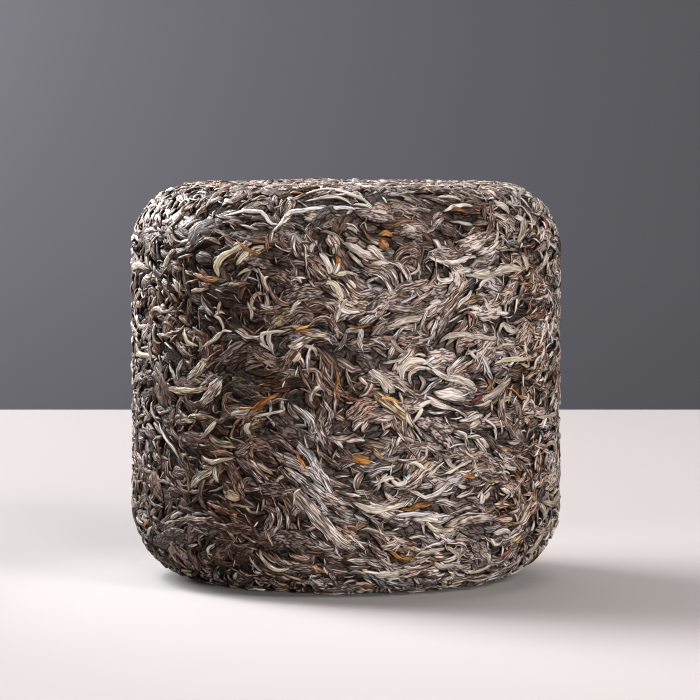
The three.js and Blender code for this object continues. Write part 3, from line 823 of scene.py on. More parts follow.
def leaf_paths(given, anchors):
    """The points along each leaf, grown step by step over the form along the grain."""
    tree = anchors.tree
    form_wire, rings = given["Form"], given["Rings"]
    copies = {"Geometry": anchors, "Amount": rings}
    paths = anchors.node("GeometryNodeDuplicateElements", {"domain": "POINT"}, copies)
    paths = keep(paths, "ring", paths.also("Duplicate Index"), "INT")
    entry = tree.nodes.new("GeometryNodeRepeatInput")
    leave = tree.nodes.new("GeometryNodeRepeatOutput")
    entry.pair_with_output(leave)
    tree.links.new((rings - 1).socket, entry.inputs["Iterations"])
    tree.links.new(paths.socket, entry.inputs["Geometry"])
    walking, step = Wire(tree, entry.outputs["Geometry"]), Wire(tree, entry.outputs["Iteration"])
    place = walking.node("GeometryNodeInputPosition")
    outward = out_of_form(form_wire, place)
    turn = kept(tree, "lean") + kept(tree, "curl") * (step / rings - 0.5)
    stride = kept(tree, "length") / (rings - 1)
    wanted = grain_heading(given, place, outward, turn)
    before = kept(tree, "way", "FLOAT_VECTOR")
    facing = (before.vector("DOT_PRODUCT", wanted, output="Value") + FORWARD_BIAS).math("SIGN")
    way = wanted.scaled(facing * (1 - STIFFNESS)) + before.scaled(STIFFNESS)
    walking = keep(walking, "way", way.vector("NORMALIZE"), "FLOAT_VECTOR")
    ahead = place + kept(tree, "way", "FLOAT_VECTOR").scaled(stride)
    footing = ahead.node("GeometryNodeProximity", None, {0: form_wire, "Sample Position": ahead})
    walked = walking.node(
        "GeometryNodeSetPosition",
        None,
        {"Geometry": walking, "Selection": kept(tree, "ring", "INT") > step, "Position": footing},
    )
    tree.links.new(walked.socket, leave.inputs["Geometry"])
    paths = Wire(tree, leave.outputs["Geometry"])
    return keep(paths, "outward", out_of_form(form_wire, place), "FLOAT_VECTOR")


print("grain swirls of", GRAIN_SIZE / MM, "mm")

# %% [markdown]
# A pressed leaf is a tube squashed flat. Most of the points round it go to its upper side, because the lower
# side is never seen. Its outline comes from a taper with blunt tips and a slow wave in width, and its upper
# side from a low crown with crinkles. It is laid so that its crown ends about level with the mould. Each leaf
# also gets a square of its own on a flat map. An automatic map would spend nearly all of its room on the
# gaps between thousands of leaves.

# %% The pressed leaf
TIP_WIDTH = 0.06
TIP_POWER = 2.0
TAPER_POWER = 0.65
CROWN_POWER = 0.5
BELLY = 0.3
UNDER_STEPS = 2
WIDTH_WAVE = 4.0 * MM
WAVE_LOW = 0.3
WAVE_SHARE = 1.4
FOLD_LENGTH = 3.0 * MM
FOLD_WIDTH = 0.8 * MM
SWAY_LENGTH = 6.0 * MM
SWAY = 0.5 * MM
SWAY_SLICE = 5.0
WIGGLE_LENGTH = 3.5 * MM
WIGGLE = 1.5 * MM
WIGGLE_SLICE = 9.0
TUCK = 0.45 * MM
TUCK_POWER = 4.0
SLICE_STEP = 7.31
RIM_WIDTH = 0.17 * MM
RIM_SHARE = 0.45
MAP_NAME = "OFBake"
MAP_GAP = 0.04
MAP_TIPS = 0.12
MAP_TIP_SCALE = 1.6
# A tube's own map has its side above this height and its two ends below
MAP_SIDE_FROM = 0.5
MAP_SLACK = 0.01
SEAM = 0.001


def keep_map(geometry, place):
    """Stores a place on a flat map at each corner of the faces."""
    return geometry.node(
        "GeometryNodeStoreNamedAttribute",
        {"data_type": "FLOAT2", "domain": "CORNER"},
        {"Geometry": geometry, "Name": MAP_NAME, "Value": place},
    )


def leaf_tubes(given, anchors):
    """A plain tube for each leaf, with how far along and how far round it each point is."""
    tube = anchors.node(
        "GeometryNodeMeshCylinder",
        {"fill_type": "NGON"},
        {"Vertices": given["Sides"], "Side Segments": given["Rings"] - 1, "Radius": 1.0, "Depth": 1.0},
    )
    place = tube.node("GeometryNodeInputPosition")
    split = place.node("ShaderNodeSeparateXYZ", None, {0: place})
    turn = split.also("Y").math("ARCTAN2", split) / (2 * math.pi)
    sheet = tube.also("UV Map")
    tube = keep(tube, "along", (split.also("Z") + 0.5).clamped())
    tube = keep(tube, "round", (turn + (1 + SEAM)).math("FRACT") - SEAM)
    tube = keep_map(tube, sheet)
    laid = anchors.node("GeometryNodeInstanceOnPoints", None, {"Points": anchors, "Instance": tube})
    return laid.node("GeometryNodeRealizeInstances", None, {"Geometry": laid})


def flat_map(tubes):
    """Lays each leaf out in a square of its own on one flat map, with its two tips in a strip below it."""
    tree = tubes.tree
    leaf, sheet = kept(tree, "leaf", "INT"), kept(tree, MAP_NAME, "FLOAT_VECTOR")
    last = tubes.node("GeometryNodeAttributeStatistic", None, {"Geometry": tubes, "Attribute": leaf}, "Max")
    columns = (last + 1).math("SQRT").math("CEIL")
    row = (leaf / columns).math("FLOOR")
    column = leaf - row * columns
    split = sheet.node("ShaderNodeSeparateXYZ", None, {0: sheet})
    high = split.also("Y")
    tips = high * (MAP_TIPS * MAP_TIP_SCALE)
    side = (high - MAP_SIDE_FROM) * ((1 - MAP_TIPS) / (1 - MAP_SIDE_FROM)) + MAP_TIPS
    up = tips + (side - tips) * (high > MAP_SIDE_FROM - MAP_SLACK)
    inner = 1 - 2 * MAP_GAP
    right = (column + split * inner + MAP_GAP) / columns
    above = (row + up * inner + MAP_GAP) / columns
    return keep_map(tubes, joined_vector(right, above, 0.0, tree))


def pressed_leaves(given, anchors, paths):
    """Tubes pressed flat along the paths."""
    tree = anchors.tree
    tubes = leaf_tubes(given, anchors)
    rings = given["Rings"]
    leaf, along, turn = kept(tree, "leaf", "INT"), kept(tree, "along"), kept(tree, "round")
    number = leaf.math("MULTIPLY_ADD", rings, (along * (rings - 1)).math("ROUND"))
    first = leaf * rings
    last = first + (rings - 1)
    path_place = paths.node("GeometryNodeInputPosition")
    place = path_value(paths, path_place, number)
    outward = path_value(paths, kept(tree, "outward", "FLOAT_VECTOR"), number)
    ahead = path_value(paths, path_place, (number + 1).math("MINIMUM", last))
    behind = path_value(paths, path_place, (number - 1).math("MAXIMUM", first))
    tangent = (ahead - behind).vector("NORMALIZE")
    side = outward.vector("CROSS_PRODUCT", tangent).vector("NORMALIZE")

    length, width, thickness = kept(tree, "length"), kept(tree, "width"), kept(tree, "thickness")
    step_round, top_steps = turn * given["Sides"], given["Sides"] - UNDER_STEPS
    over_top = (step_round / top_steps).clamped()
    under = ((step_round - top_steps) * (1 / UNDER_STEPS)).clamped()
    across = (over_top * math.pi).math("COSINE") + under * 2
    crown = (over_top * math.pi).math("SINE").math("MAXIMUM", 0.0) ** CROWN_POWER
    belly = (under * math.pi).math("SINE") * -BELLY

    skewed = along ** kept(tree, "skew")
    from_middle = (skewed * 2 - 1).math("ABSOLUTE")
    blunt = (1 - from_middle**TIP_POWER).math("MAXIMUM", 0.0) ** TAPER_POWER
    taper = blunt * (1 - TIP_WIDTH) + TIP_WIDTH
    own = leaf * SLICE_STEP
    wave = noise(joined_vector(along * length / WIDTH_WAVE, own, 0.0, tree), 1.0, 2.0)
    half = width * 0.5 * taper * (wave * WAVE_SHARE + WAVE_LOW)
    folds = joined_vector(along * length / FOLD_LENGTH, across * width / FOLD_WIDTH, own, tree)
    crinkle = (noise(folds, 1.0, 1.0) - 0.5) * given["Crinkle"] * 2
    height = crown * (thickness + crinkle) * taper + belly * thickness
    sway = noise(joined_vector(along * length / SWAY_LENGTH, own, SWAY_SLICE, tree), 1.0, 1.0) - 0.5
    lift = kept(tree, "lift") + sway * SWAY - from_middle**TUCK_POWER * TUCK
    bends = joined_vector(along * length / WIGGLE_LENGTH, own, WIGGLE_SLICE, tree)
    wiggle = noise(bends, 1.0, 1.0) - 0.5

    roll = kept(tree, "roll") + kept(tree, "twist") * (along - 0.5) * 2
    cosine, sine = roll.math("COSINE"), roll.math("SINE")
    flat_side = side.scaled(cosine) + outward.scaled(sine)
    flat_out = outward.scaled(cosine) - side.scaled(sine)
    sideways = across * half + wiggle * WIGGLE
    spot = place + flat_side.scaled(sideways) + flat_out.scaled(height) + outward.scaled(lift)
    pressed = above_floor(spot)
    own_place = joined_vector(along * length, across * half, own * MM, tree)
    tubes = keep(tubes, "leaf_place", own_place, "FLOAT_VECTOR")
    tip = along.math("MINIMUM", 1 - along) * length
    rim = ((1 - across.math("ABSOLUTE")) * half).math("MINIMUM", tip)
    tubes = keep(tubes, "leaf_rim", rim / (half * RIM_SHARE).math("MINIMUM", RIM_WIDTH))
    tubes = keep(tubes, "leaf_depth", 0.0 - (height + lift))
    tubes = tubes.node("GeometryNodeSetPosition", None, {"Geometry": tubes, "Position": pressed})
    tubes = tubes.node("GeometryNodeSetShadeSmooth", None, {"Geometry": flat_map(tubes)})
    tubes = tubes.node("GeometryNodeRealizeInstances", None, {"Geometry": tubes})
    return tubes.node("GeometryNodeSetMaterial", None, {"Geometry": tubes, "Material": given["Finish"]})


def scattered_leaf_tree():
    """Anchors, then paths, then pressed leaves."""
    tree, given = new_shape_tree("scattered_leaves", LEAF_INPUTS)
    anchors = leaf_anchors(given)
    give_out(pressed_leaves(given, anchors, leaf_paths(given, anchors)))
    return tree


scattered_leaves = scattered_leaf_tree()
print("leaf tree:", len(scattered_leaves.nodes), "nodes")

# %% [markdown]
# Dried leaf is matte with a soft sheen on its ridges. Colour varies from leaf to leaf, and each leaf has fine
# fibres and a few creases along it. So the finish reads what the tree stored: where on its own leaf a point
# is, how near the rim, how deep, and the leaf's own tone and hue. Creases, rims and deep parts are darkened
# as painted shade. One function makes every finish from three colours. On downy buds and stems the lines
# show less, and on broad leaves a painted highlight lies along thin fibre lines.

# %% Leaf finishes
SLICE = 1 / MM
CREASE_WIDTH = 0.1
CREASE_SHADE = 0.14
CREASE_HEIGHT = 0.25
RIM_SHADE = (0.10, 0.05, 0.035, 1.0)
DEEP = (0.15 * MM, 1.0 * MM)
DEEP_SHADE = 0.38
FOLD_CONTRAST = 0.7
FOLD_HEIGHT = 0.7
FIBRE_SPAN = (0.3, 0.7)
FIBRE_CONTRAST = 0.75
FIBRE_HEIGHT = 0.12
OWN_CONTRAST = (0.45, 1.35)
OWN_CONTRAST_STEP = 7.7
RELIEF_STRENGTH = 0.9
RELIEF_DEPTH = 0.35 * MM
# A band just inside each leaf's rim is made lighter: a painted highlight where the shoulders catch the light,
# which also stands for paler curled margins
EDGE_BAND = (0.6, 1.0, 2.0)
EDGE_HIGHLIGHT_AND_PALE_MARGIN = 0.08
RED_TINT = (1.25, 0.84, 0.76, 1.0)
RED_SHARE = 0.16
OLIVE_TINT = (1.06, 1.03, 0.72, 1.0)
OLIVE_SHARE = 0.22
OLIVE_LIMIT = 1.2
OLIVE_FADE = 0.6
COOL_TINT = (0.90, 0.99, 1.12, 1.0)
COOL_MIDDLE = 0.66
COOL_SHARE = 0.25
RUST_TINT = (1.15, 0.90, 0.66, 1.0)
RUST_MIDDLE = 0.22
RUST_SHARE = 0.2
RUST_LIMIT = 1.25
UNTINTED = (1.0, 1.0, 1.0, 1.0)
LEAF_ROUGHNESS = 0.66
FIBRE_GLOSS = 0.24
LEAF_SHEEN = 0.1
SHEEN_TINT = (1.0, 0.78, 0.64, 1.0)
LONG_FOLDS = (180.0, 1550.0)
LONG_FIBRES = (520.0, 3000.0)
CRUMPLED_FOLDS = (300.0, 1300.0)
CRUMPLED_FIBRES = (650.0, 2600.0)
PLATE_FOLDS = (260.0, 700.0)
PLATE_FIBRES = (1000.0, 2900.0)


def srgb(red, green, blue):
    """A colour given from 0 to 255 as a screen shows it, in the linear values that shaders use."""
    linear = []
    for part in (red, green, blue):
        share = part / 255
        linear.append(share / 12.92 if share <= 0.04045 else ((share + 0.055) / 1.055) ** 2.4)
    return (*linear, 1.0)


def mixed(first, second, factor, tree):
    """Two colours mixed by a factor."""
    return Wire(tree).node("ShaderNodeMix", {"data_type": "RGBA"}, {0: factor, 6: first, 7: second}, 2)


def leaf_value(tree, name, output="Fac"):
    """What the leaf tree stored, read in a finish."""
    return Wire(tree).node("ShaderNodeAttribute", {"attribute_name": name}, None, output)


def hue_band(hue, middle, share):
    """How near a leaf's hue is to the middle of a band, from 1 there to 0 at its ends."""
    return 1 - (hue - middle).math("ABSOLUTE").spread(0.0, share / 2)


def leaf_colour(dark, middle, light, level, hue, tree):
    """The colour at a level from dark to light, tinted red, olive, cool or rusty by the leaf's hue."""
    low = mixed(dark, middle, (level * 2).clamped(), tree)
    colour = mixed(low, light, (level * 2 - 1).clamped(), tree)
    red = (1 - hue.spread(0.0, RED_SHARE)) * (1 - level).clamped()
    olive = hue.spread(1 - OLIVE_SHARE, 1.0) * (OLIVE_LIMIT - level * OLIVE_FADE).clamped()
    cool = hue_band(hue, COOL_MIDDLE, COOL_SHARE)
    rust = hue_band(hue, RUST_MIDDLE, RUST_SHARE) * (RUST_LIMIT - level).clamped()
    for tint, factor in ((RED_TINT, red), (OLIVE_TINT, olive), (COOL_TINT, cool), (RUST_TINT, rust)):
        colour = colour * mixed(UNTINTED, tint, factor, tree)
    return colour


def leaf_finish(
    name, dark, middle, light, fold_rate=LONG_FOLDS, fibre_rate=LONG_FIBRES, ridge_highlight=0.0, marking=1.0
):
    """A dried-leaf finish: three colours that a leaf's tone chooses from, with fibres, creases and sheen.

    The colours are given as a screen shows them. Marking is how strongly fibres, folds and creases show.
    Ridge highlight is how much painted highlight lies along thin fibre lines.
    """
    material = bpy.data.materials.new(name)
    material.use_nodes = True
    tree = material.node_tree
    shader = tree.nodes["Principled BSDF"]
    place = leaf_value(tree, "leaf_place", "Vector")
    tone, hue, rim, depth = (leaf_value(tree, "leaf_" + part) for part in ("tone", "hue", "rim", "depth"))
    folds = noise(place * (*fold_rate, SLICE), 1.0, 1.0)
    fibres = noise(place * (*fibre_rate, SLICE), 1.0, 2.0)
    crease = (folds - 0.5).math("ABSOLUTE").spread(0.0, CREASE_WIDTH)
    # Thin lines in the fibres, which get a painted highlight on broad and smooth leaves
    ridge_highlight_mask = 1 - (fibres - 0.5).math("ABSOLUTE").spread(0.0, CREASE_WIDTH)
    sharp = fibres.spread(*FIBRE_SPAN)
    least, most = OWN_CONTRAST
    own_contrast = (hue * OWN_CONTRAST_STEP).math("FRACT") * (most - least) + least
    lines = (sharp - 0.5) * FIBRE_CONTRAST * own_contrast + (folds - 0.5) * FOLD_CONTRAST
    # painted highlight along the shoulders, also standing for paler curled margins
    inner, crest, outer = EDGE_BAND
    edge = rim.spread(inner, crest) * (1 - rim.spread(crest, outer)) * EDGE_HIGHLIGHT_AND_PALE_MARGIN
    level = tone + lines * marking + edge + ridge_highlight_mask * ridge_highlight
    colours = [srgb(*colour) for colour in (dark, middle, light)]
    colour = leaf_colour(*colours, level, hue, tree)
    colour = colour * mixed(RIM_SHADE, UNTINTED, rim.spread(0.0, 1.0), tree)
    crease_shade = 1 - marking * (1 - CREASE_SHADE)
    shade = crease.spread(0.0, 1.0, crease_shade, 1.0) * depth.spread(*DEEP, 1.0, DEEP_SHADE)
    colour = colour.scaled(shade)
    height = folds * FOLD_HEIGHT + fibres * FIBRE_HEIGHT + crease * CREASE_HEIGHT
    relief = {"Strength": RELIEF_STRENGTH * marking, "Distance": RELIEF_DEPTH, "Height": height}
    bump = place.node("ShaderNodeBump", None, relief)
    roughness = LEAF_ROUGHNESS - sharp * FIBRE_GLOSS
    tree.links.new(colour.socket, shader.inputs["Base Color"])
    tree.links.new(roughness.socket, shader.inputs["Roughness"])
    tree.links.new(bump.socket, shader.inputs["Normal"])
    shader.inputs["Specular IOR Level"].default_value = LEAF_SHEEN
    shader.inputs["Specular Tint"].default_value = SHEEN_TINT
    return material


FINISHES = {
    "dark": leaf_finish("dark_leaf", (33, 20, 15), (77, 60, 52), (129, 117, 112)),
    "brown": leaf_finish("brown_leaf", (41, 27, 20), (93, 80, 72), (134, 126, 122)),
    "broad": leaf_finish(
        "broad_leaf", (27, 14, 10), (70, 53, 46), (120, 108, 103), CRUMPLED_FOLDS, CRUMPLED_FIBRES,
        ridge_highlight=0.4,
    ),
    "plate": leaf_finish(
        "smooth_leaf", (24, 16, 14), (64, 53, 49), (118, 107, 102), PLATE_FOLDS, PLATE_FIBRES,
        ridge_highlight=0.15,
    ),
    "red": leaf_finish("red_leaf", (40, 17, 14), (84, 46, 40), (124, 90, 80)),
    "silver": leaf_finish("silver_bud", (54, 42, 35), (105, 95, 87), (134, 127, 121), marking=0.6),
    "shred": leaf_finish("leaf_shred", (35, 22, 16), (90, 76, 68), (131, 123, 119)),
    "amber": leaf_finish("amber_stem", (44, 26, 15), (96, 62, 33), (134, 105, 66), marking=0.75),
}
print("finishes:", ", ".join(FINISHES))

# %% [markdown]
# The kinds of leaf differ in size, in how deep they were pressed and in colour. Broad crumpled leaves lie
# lowest, rolled strips lie over them, and pale buds, which show most, lie nearest the surface. Sizes here are
# in millimetres and angles in degrees. The height is that of the crown, measured from the mould.

# %% The kinds of leaf
LEAF_KINDS = {
    "under_leaves": {
        "finish": "dark", "seed": 5, "spacing": 3.8, "thinning": 0.0, "rings": 7, "sides": 5,
        "length": (7, 14), "width": (2.2, 4.2), "thickness": (0.6, 0.9), "height": (-0.95, -0.45),
        "lean": 30, "curl": 80, "roll": 14, "crinkle": 0.3,
    },
    "broad_leaves": {
        "finish": "broad", "seed": 11, "spacing": 8.0, "thinning": 0.0, "rings": 9, "sides": 8,
        "length": (7, 14), "width": (2.4, 4.6), "thickness": (0.4, 0.8), "height": (-0.7, -0.1),
        "lean": 45, "curl": 60, "roll": 10, "crinkle": 0.35,
    },
    "dark_leaves": {
        "finish": "dark", "seed": 23, "spacing": 3.7, "thinning": 0.3, "rings": 8, "sides": 6,
        "length": (3.5, 10), "width": (0.8, 2.1), "thickness": (0.5, 0.9), "height": (-0.55, 0.05),
        "lean": 56, "curl": 130, "roll": 18, "crinkle": 0.3,
    },
    "brown_leaves": {
        "finish": "brown", "seed": 37, "spacing": 3.5, "thinning": 0.5, "rings": 8, "sides": 6,
        "length": (3, 9), "width": (0.7, 1.7), "thickness": (0.5, 0.8), "height": (-0.5, 0.07),
        "lean": 62, "curl": 150, "roll": 20, "crinkle": 0.3,
    },
    "silver_buds": {
        "finish": "silver", "seed": 41, "spacing": 5.6, "thinning": 0.6, "rings": 9, "sides": 6,
        "length": (3, 8), "width": (0.6, 1.3), "thickness": (0.45, 0.75), "height": (-0.35, 0.08),
        "lean": 58, "curl": 210, "roll": 16, "crinkle": 0.25,
    },
    "leaf_shreds": {
        "finish": "shred", "seed": 53, "spacing": 2.25, "thinning": 0.3, "rings": 5, "sides": 4,
        "length": (2, 5.5), "width": (0.3, 0.8), "thickness": (0.35, 0.55), "height": (-0.4, 0.08),
        "lean": 80, "curl": 200, "roll": 20, "crinkle": 0.2,
    },
    "amber_stems": {
        "finish": "amber", "seed": 67, "spacing": 23, "thinning": 0.0, "rings": 9, "sides": 7,
        "length": (4, 9), "width": (0.6, 1.3), "thickness": (0.5, 0.8), "height": (-0.2, 0.15),
        "lean": 40, "curl": 80, "roll": 12, "crinkle": 0.2,
    },
}
# The inputs that take the two ends of each range
SIZE_RANGES = {
    "length": ("Shortest", "Longest"),
    "width": ("Narrowest", "Widest"),
    "thickness": ("Thinnest", "Thickest"),
    "height": ("Deepest", "Highest"),
}


def laid_kind(name, kind):
    """One piece that holds every leaf of a kind."""
    values = {"Guide": guide, "Finish": FINISHES[kind["finish"]]}
    for count in ("seed", "thinning", "rings", "sides"):
        values[count.title()] = kind[count]
    for size in ("spacing", "crinkle"):
        values[size.title()] = kind[size] * MM
    for angle in ("lean", "curl", "roll"):
        values[angle.title()] = math.radians(kind[angle])
    for size, limits in SIZE_RANGES.items():
        values.update((limit, length * MM) for limit, length in zip(limits, kind[size]))
    return grown_mesh(name, form.copy(), scattered_leaves, values)


pieces = []
for kind_name, kind in LEAF_KINDS.items():
    piece = laid_kind(kind_name, kind)
    pieces.append(piece)
    print(kind_name, triangle_count(piece), "triangles")
bpy.data.objects.remove(guide)

# %% [markdown]
# The traced leaves need no anchors of their own. The first point of each is its anchor, and the pressing is
# the same as for the scattered ones. They lie a little proud, because these are the leaves that show.

# %% Traced leaves in place
TRACED_SIDES = 9
TRACED_THICKNESS = 0.7 * MM
TRACED_CRINKLE = 0.25 * MM
# How high each kind's crown stands over the mould, in millimetres
TRACED_HEIGHTS = {"silver": 0.12, "brown": 0.1, "dark": 0.08, "amber": 0.1, "red": 0.1, "plate": 0.06}
TRACED_INPUTS = {
    "Points": "geometry",
    "Rings": "count",
    "Sides": "count",
    "Height": "number",
    "Crinkle": "number",
    "Finish": "material",
}


def traced_leaf_tree():
    """The first point of each traced leaf is its anchor, and all of its points are its path."""
    tree, given = new_shape_tree("traced_leaves", TRACED_INPUTS)
    points = given["Points"]
    points = keep(points, "thickness", TRACED_THICKNESS)
    points = keep(points, "lift", given["Height"] - TRACED_THICKNESS)
    points = keep(points, "roll", 0.0)
    points = keep(points, "twist", 0.0)
    points = keep(points, "skew", 1.0)
    starts = points.node(
        "GeometryNodeSeparateGeometry",
        {"domain": "POINT"},
        {"Geometry": points, "Selection": 1 - kept(tree, "ring", "INT").math("MINIMUM", 1.0)},
    )
    give_out(pressed_leaves(given, starts, points))
    return tree


traced_tree = traced_leaf_tree()
for finish, leaves in TRACED_LEAVES.items():
    values = {
        "Rings": TRACED_RINGS,
        "Sides": TRACED_SIDES,
        "Height": TRACED_HEIGHTS[finish] * MM,
        "Crinkle": TRACED_CRINKLE,
        "Finish": FINISHES[finish],
    }
    piece = grown_mesh("traced_" + finish, traced_points(leaves), traced_tree, values)
    pieces.append(piece)
    print("traced", finish, len(leaves), "leaves,", triangle_count(piece), "triangles")

# %% [markdown]
# Between the leaves the block is dark crumbs. The core fills the gaps: the same outline a little smaller,
# with relief of crumb size and a nearly black finish, which is partly painted shade deep in the gaps. Long
# bent cells in that finish stand for leaves that lie too deep to be worth a shape of their own, and they
# darken towards their edges as painted shade between them.

# %% The core
CORE_INSET = 1.5 * MM
CORE_STEP = 1.6 * MM
CORE_COLUMNS = 200
CORE_INPUTS = {"Form": "geometry", "Relief": "number", "Finish": "material"}
RELIEF = 0.5 * MM
RELIEF_RATE = 900.0
CRUMB_RATE = (1100.0, 1100.0, 2300.0)
CRUMB_CONTRAST = 1.6
CRUMB_DARK_AND_GAP_SHADE = (11, 8, 7)
CRUMB_LIGHT = (58, 48, 44)
DEEP_LEAF_RATE = (320.0, 320.0, 1000.0)
BEND_RATE = 140.0
BEND = 9 * MM
DEEP_LEAF_LIGHT = 0.8
DEEP_LEAF_GAP = 0.12
DEEP_LEAF_EDGE = 0.3
DEEP_LEAF_HEIGHT = 0.6
CRUMB_BUMP = 0.8
CRUMB_DEPTH = 0.3 * MM
CRUMB_ROUGHNESS = 0.85
CRUMB_SHEEN = 0.05


def core_tree():
    """Pushes the smooth core in and out by noise of crumb size."""
    tree, given = new_shape_tree("crumbled_core", CORE_INPUTS)
    place = given["Form"].node("GeometryNodeInputPosition")
    normal = given["Form"].node("GeometryNodeInputNormal")
    relief = (noise(place, RELIEF_RATE, 3.0) - 0.5) * given["Relief"] * 2
    moved = above_floor(place + normal.scaled(relief))
    core = place.node("GeometryNodeSetPosition", None, {"Geometry": given["Form"], "Position": moved})
    core = core.node("GeometryNodeRealizeInstances", None, {"Geometry": core})
    core = core.node("GeometryNodeSetMaterial", None, {"Geometry": core, "Material": given["Finish"]})
    give_out(core)
    return tree


def core_and_gap_shade_finish():
    """Dark crumbs, partly painted shade for the gaps: brown noise on Object coordinates with a rough, bumpy
    surface.
    """
    material = bpy.data.materials.new("crumbs")
    material.use_nodes = True
    tree = material.node_tree
    shader = tree.nodes["Principled BSDF"]
    place = Wire(tree).node("ShaderNodeTexCoord", None, None, "Object")
    crumbs = noise(place * CRUMB_RATE, 1.0, 4.0)
    bent = place + (noise(place, BEND_RATE, 1.0, "Color") - (0.5, 0.5, 0.5)).scaled(BEND)
    cells = {"Vector": bent * DEEP_LEAF_RATE, "Scale": 1.0}
    tone = place.node("ShaderNodeTexVoronoi", None, cells, "Color")
    gap = place.node("ShaderNodeTexVoronoi", {"feature": "DISTANCE_TO_EDGE"}, cells, "Distance")
    # cells darken towards their edges: painted shade between the deep leaves
    leaf = tone.node("ShaderNodeSeparateXYZ", None, {0: tone}) * gap.spread(0.0, DEEP_LEAF_GAP)
    level = (leaf * DEEP_LEAF_LIGHT + (crumbs - 0.5) * CRUMB_CONTRAST).clamped()
    # nearly black: crumb colour and partly painted shade deep in the gaps
    colour = mixed(srgb(*CRUMB_DARK_AND_GAP_SHADE), srgb(*CRUMB_LIGHT), level, tree)
    height = crumbs + gap.spread(0.0, DEEP_LEAF_EDGE) * DEEP_LEAF_HEIGHT
    relief = {"Strength": CRUMB_BUMP, "Distance": CRUMB_DEPTH, "Height": height}
    bump = place.node("ShaderNodeBump", None, relief)
    tree.links.new(colour.socket, shader.inputs["Base Color"])
    tree.links.new(bump.socket, shader.inputs["Normal"])
    shader.inputs["Roughness"].default_value = CRUMB_ROUGHNESS
    shader.inputs["Specular IOR Level"].default_value = CRUMB_SHEEN
    return material


core_form = turned_mesh(
    "core_form", block_outline(CORE_INSET, CORE_STEP), CORE_COLUMNS, CORE_INSET, BLOCK_HEIGHT - CORE_INSET
)
core = grown_mesh("tea_core", core_form, core_tree(), {"Relief": RELIEF, "Finish": core_and_gap_shade_finish()})
pieces.append(core)
print("core", triangle_count(core), "triangles;", sum(map(triangle_count, pieces)), "in all")

# %% [markdown]
# The block is one body, so every piece rides on the root. Together the pieces take the place of its one
# solid, and all of them are dried leaf.

# %% Pieces on the frame
NODE = "tea_cylinder"
for piece in pieces:
    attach(piece, "root")
    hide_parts(NODE)
print(len(pieces), "pieces ride on the root")

# %% [markdown]
# The picture has a pale floor that ends behind the block and a grey wall beyond it. A warm key lamp stands
# in front on the right, a cool one behind on the left draws a rim, and a small one beside the block lifts its
# upper left corner. A broad lamp lights the top, a low one fills the base, and one washes the wall. A narrow
# pixel filter keeps the small leaves crisp.

# %% Floor, wall and light
FLOOR_FRONT = -1.4
FLOOR_BACK = 0.46
FLOOR_HALF_WIDTH = 1.4
WALL_PLACE = 2.2
WALL_HALF_WIDTH = 3
WALL_FOOT = -1
WALL_HEIGHT = 2.4
STAGE_ROUGHNESS = 0.9
PIXEL_FILTER = 1.0
WARM = (1.0, 0.985, 0.965)
COOL = (0.93, 0.96, 1.0)
WHITE = (1.0, 1.0, 1.0)
ROOM_COLOUR = (1.0, 0.93, 0.87, 1.0)
ROOM_STRENGTH = 0.1
# Each lamp: place, aim and width in metres, power in watts, colour, and the beam's angle where it is narrowed
LAMPS = {
    "key": ((0.72, -0.78, 0.62), (0, 0, 0.05), 0.3, 20, WARM),
    "rim": ((-0.85, 0.50, 0.75), (0, 0, 0.05), 0.8, 66, COOL),
    "corner": ((-0.112, 0.022, 0.146), (-0.042, -0.008, 0.086), 0.05, 0.22, COOL, 80),
    "top": ((0.1, 0.45, 0.95), (0, 0, 0.06), 1.0, 15, WHITE),
    "low_fill": ((0.25, -0.95, 0.12), (0, 0, 0.02), 0.2, 24, WHITE),
    "wall_wash": ((-0.75, 1.75, 0.35), (-0.35, WALL_PLACE, 0.2), 0.5, 16, WHITE),
}


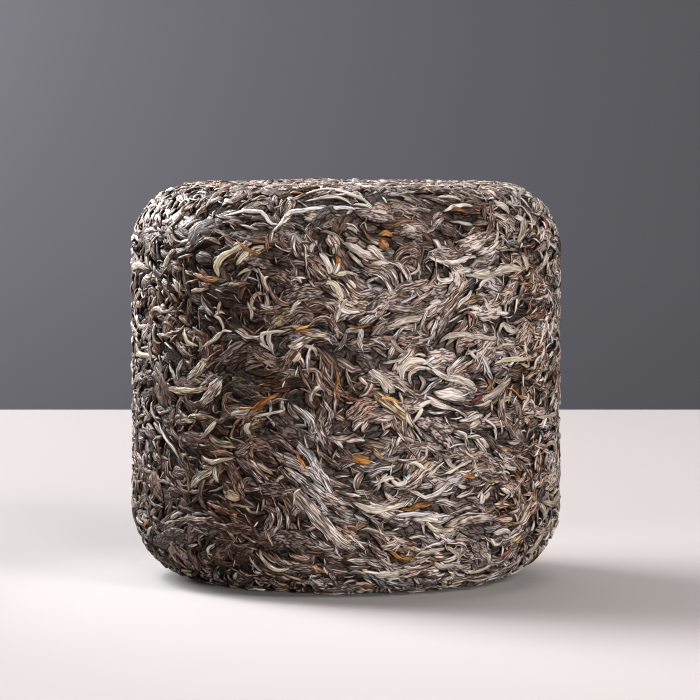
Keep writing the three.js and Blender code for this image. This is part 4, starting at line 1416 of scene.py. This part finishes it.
def plain_finish(name, colour):
    """A plain stage paint."""
    material = bpy.data.materials.new(name)
    material.use_nodes = True
    shader = material.node_tree.nodes["Principled BSDF"]
    shader.inputs["Base Color"].default_value = colour
    shader.inputs["Roughness"].default_value = STAGE_ROUGHNESS
    return material


def stage_sheet(name, corners, material):
    """One flat sheet of the stage."""
    mesh = bpy.data.meshes.new(name)
    mesh.from_pydata(corners, [], [(0, 1, 2, 3)])
    mesh.materials.append(material)
    sheet = bpy.data.objects.new(name, mesh)
    bpy.context.scene.collection.objects.link(sheet)


def soft_lamp(name, place, aim, width, power, colour, beam_deg=180):
    """A square area light at a place, turned to an aim, with a beam that can be narrowed."""
    data = bpy.data.lights.new(name, "AREA")
    data.energy = power
    data.color = colour
    data.spread = math.radians(beam_deg)
    data.size = width
    lamp = bpy.data.objects.new(name, data)
    lamp.location = place
    lamp.rotation_euler = (Vector(aim) - Vector(place)).to_track_quat("-Z", "Y").to_euler()
    lamp.visible_camera = False
    bpy.context.scene.collection.objects.link(lamp)


left, right = -FLOOR_HALF_WIDTH, FLOOR_HALF_WIDTH
stage_sheet(
    "floor",
    [(left, FLOOR_FRONT, 0), (right, FLOOR_FRONT, 0), (right, FLOOR_BACK, 0), (left, FLOOR_BACK, 0)],
    plain_finish("pale_floor", srgb(111, 105, 103)),
)
left, right = -WALL_HALF_WIDTH, WALL_HALF_WIDTH
wall_corners = [(left, WALL_FOOT), (right, WALL_FOOT), (right, WALL_HEIGHT), (left, WALL_HEIGHT)]
stage_sheet(
    "wall",
    [(x, WALL_PLACE, z) for x, z in wall_corners],
    plain_finish("grey_wall", srgb(74, 73, 79)),
)
for lamp_name, lamp in LAMPS.items():
    soft_lamp(lamp_name, *lamp)
world = bpy.data.worlds.new("studio")
world.use_nodes = True
world.node_tree.nodes["Background"].inputs["Color"].default_value = ROOM_COLOUR
world.node_tree.nodes["Background"].inputs["Strength"].default_value = ROOM_STRENGTH
bpy.context.scene.world = world
bpy.context.scene.view_settings.view_transform = "Standard"
bpy.context.scene.cycles.filter_width = PIXEL_FILTER
print("stage ready,", len(LAMPS), "lamps")
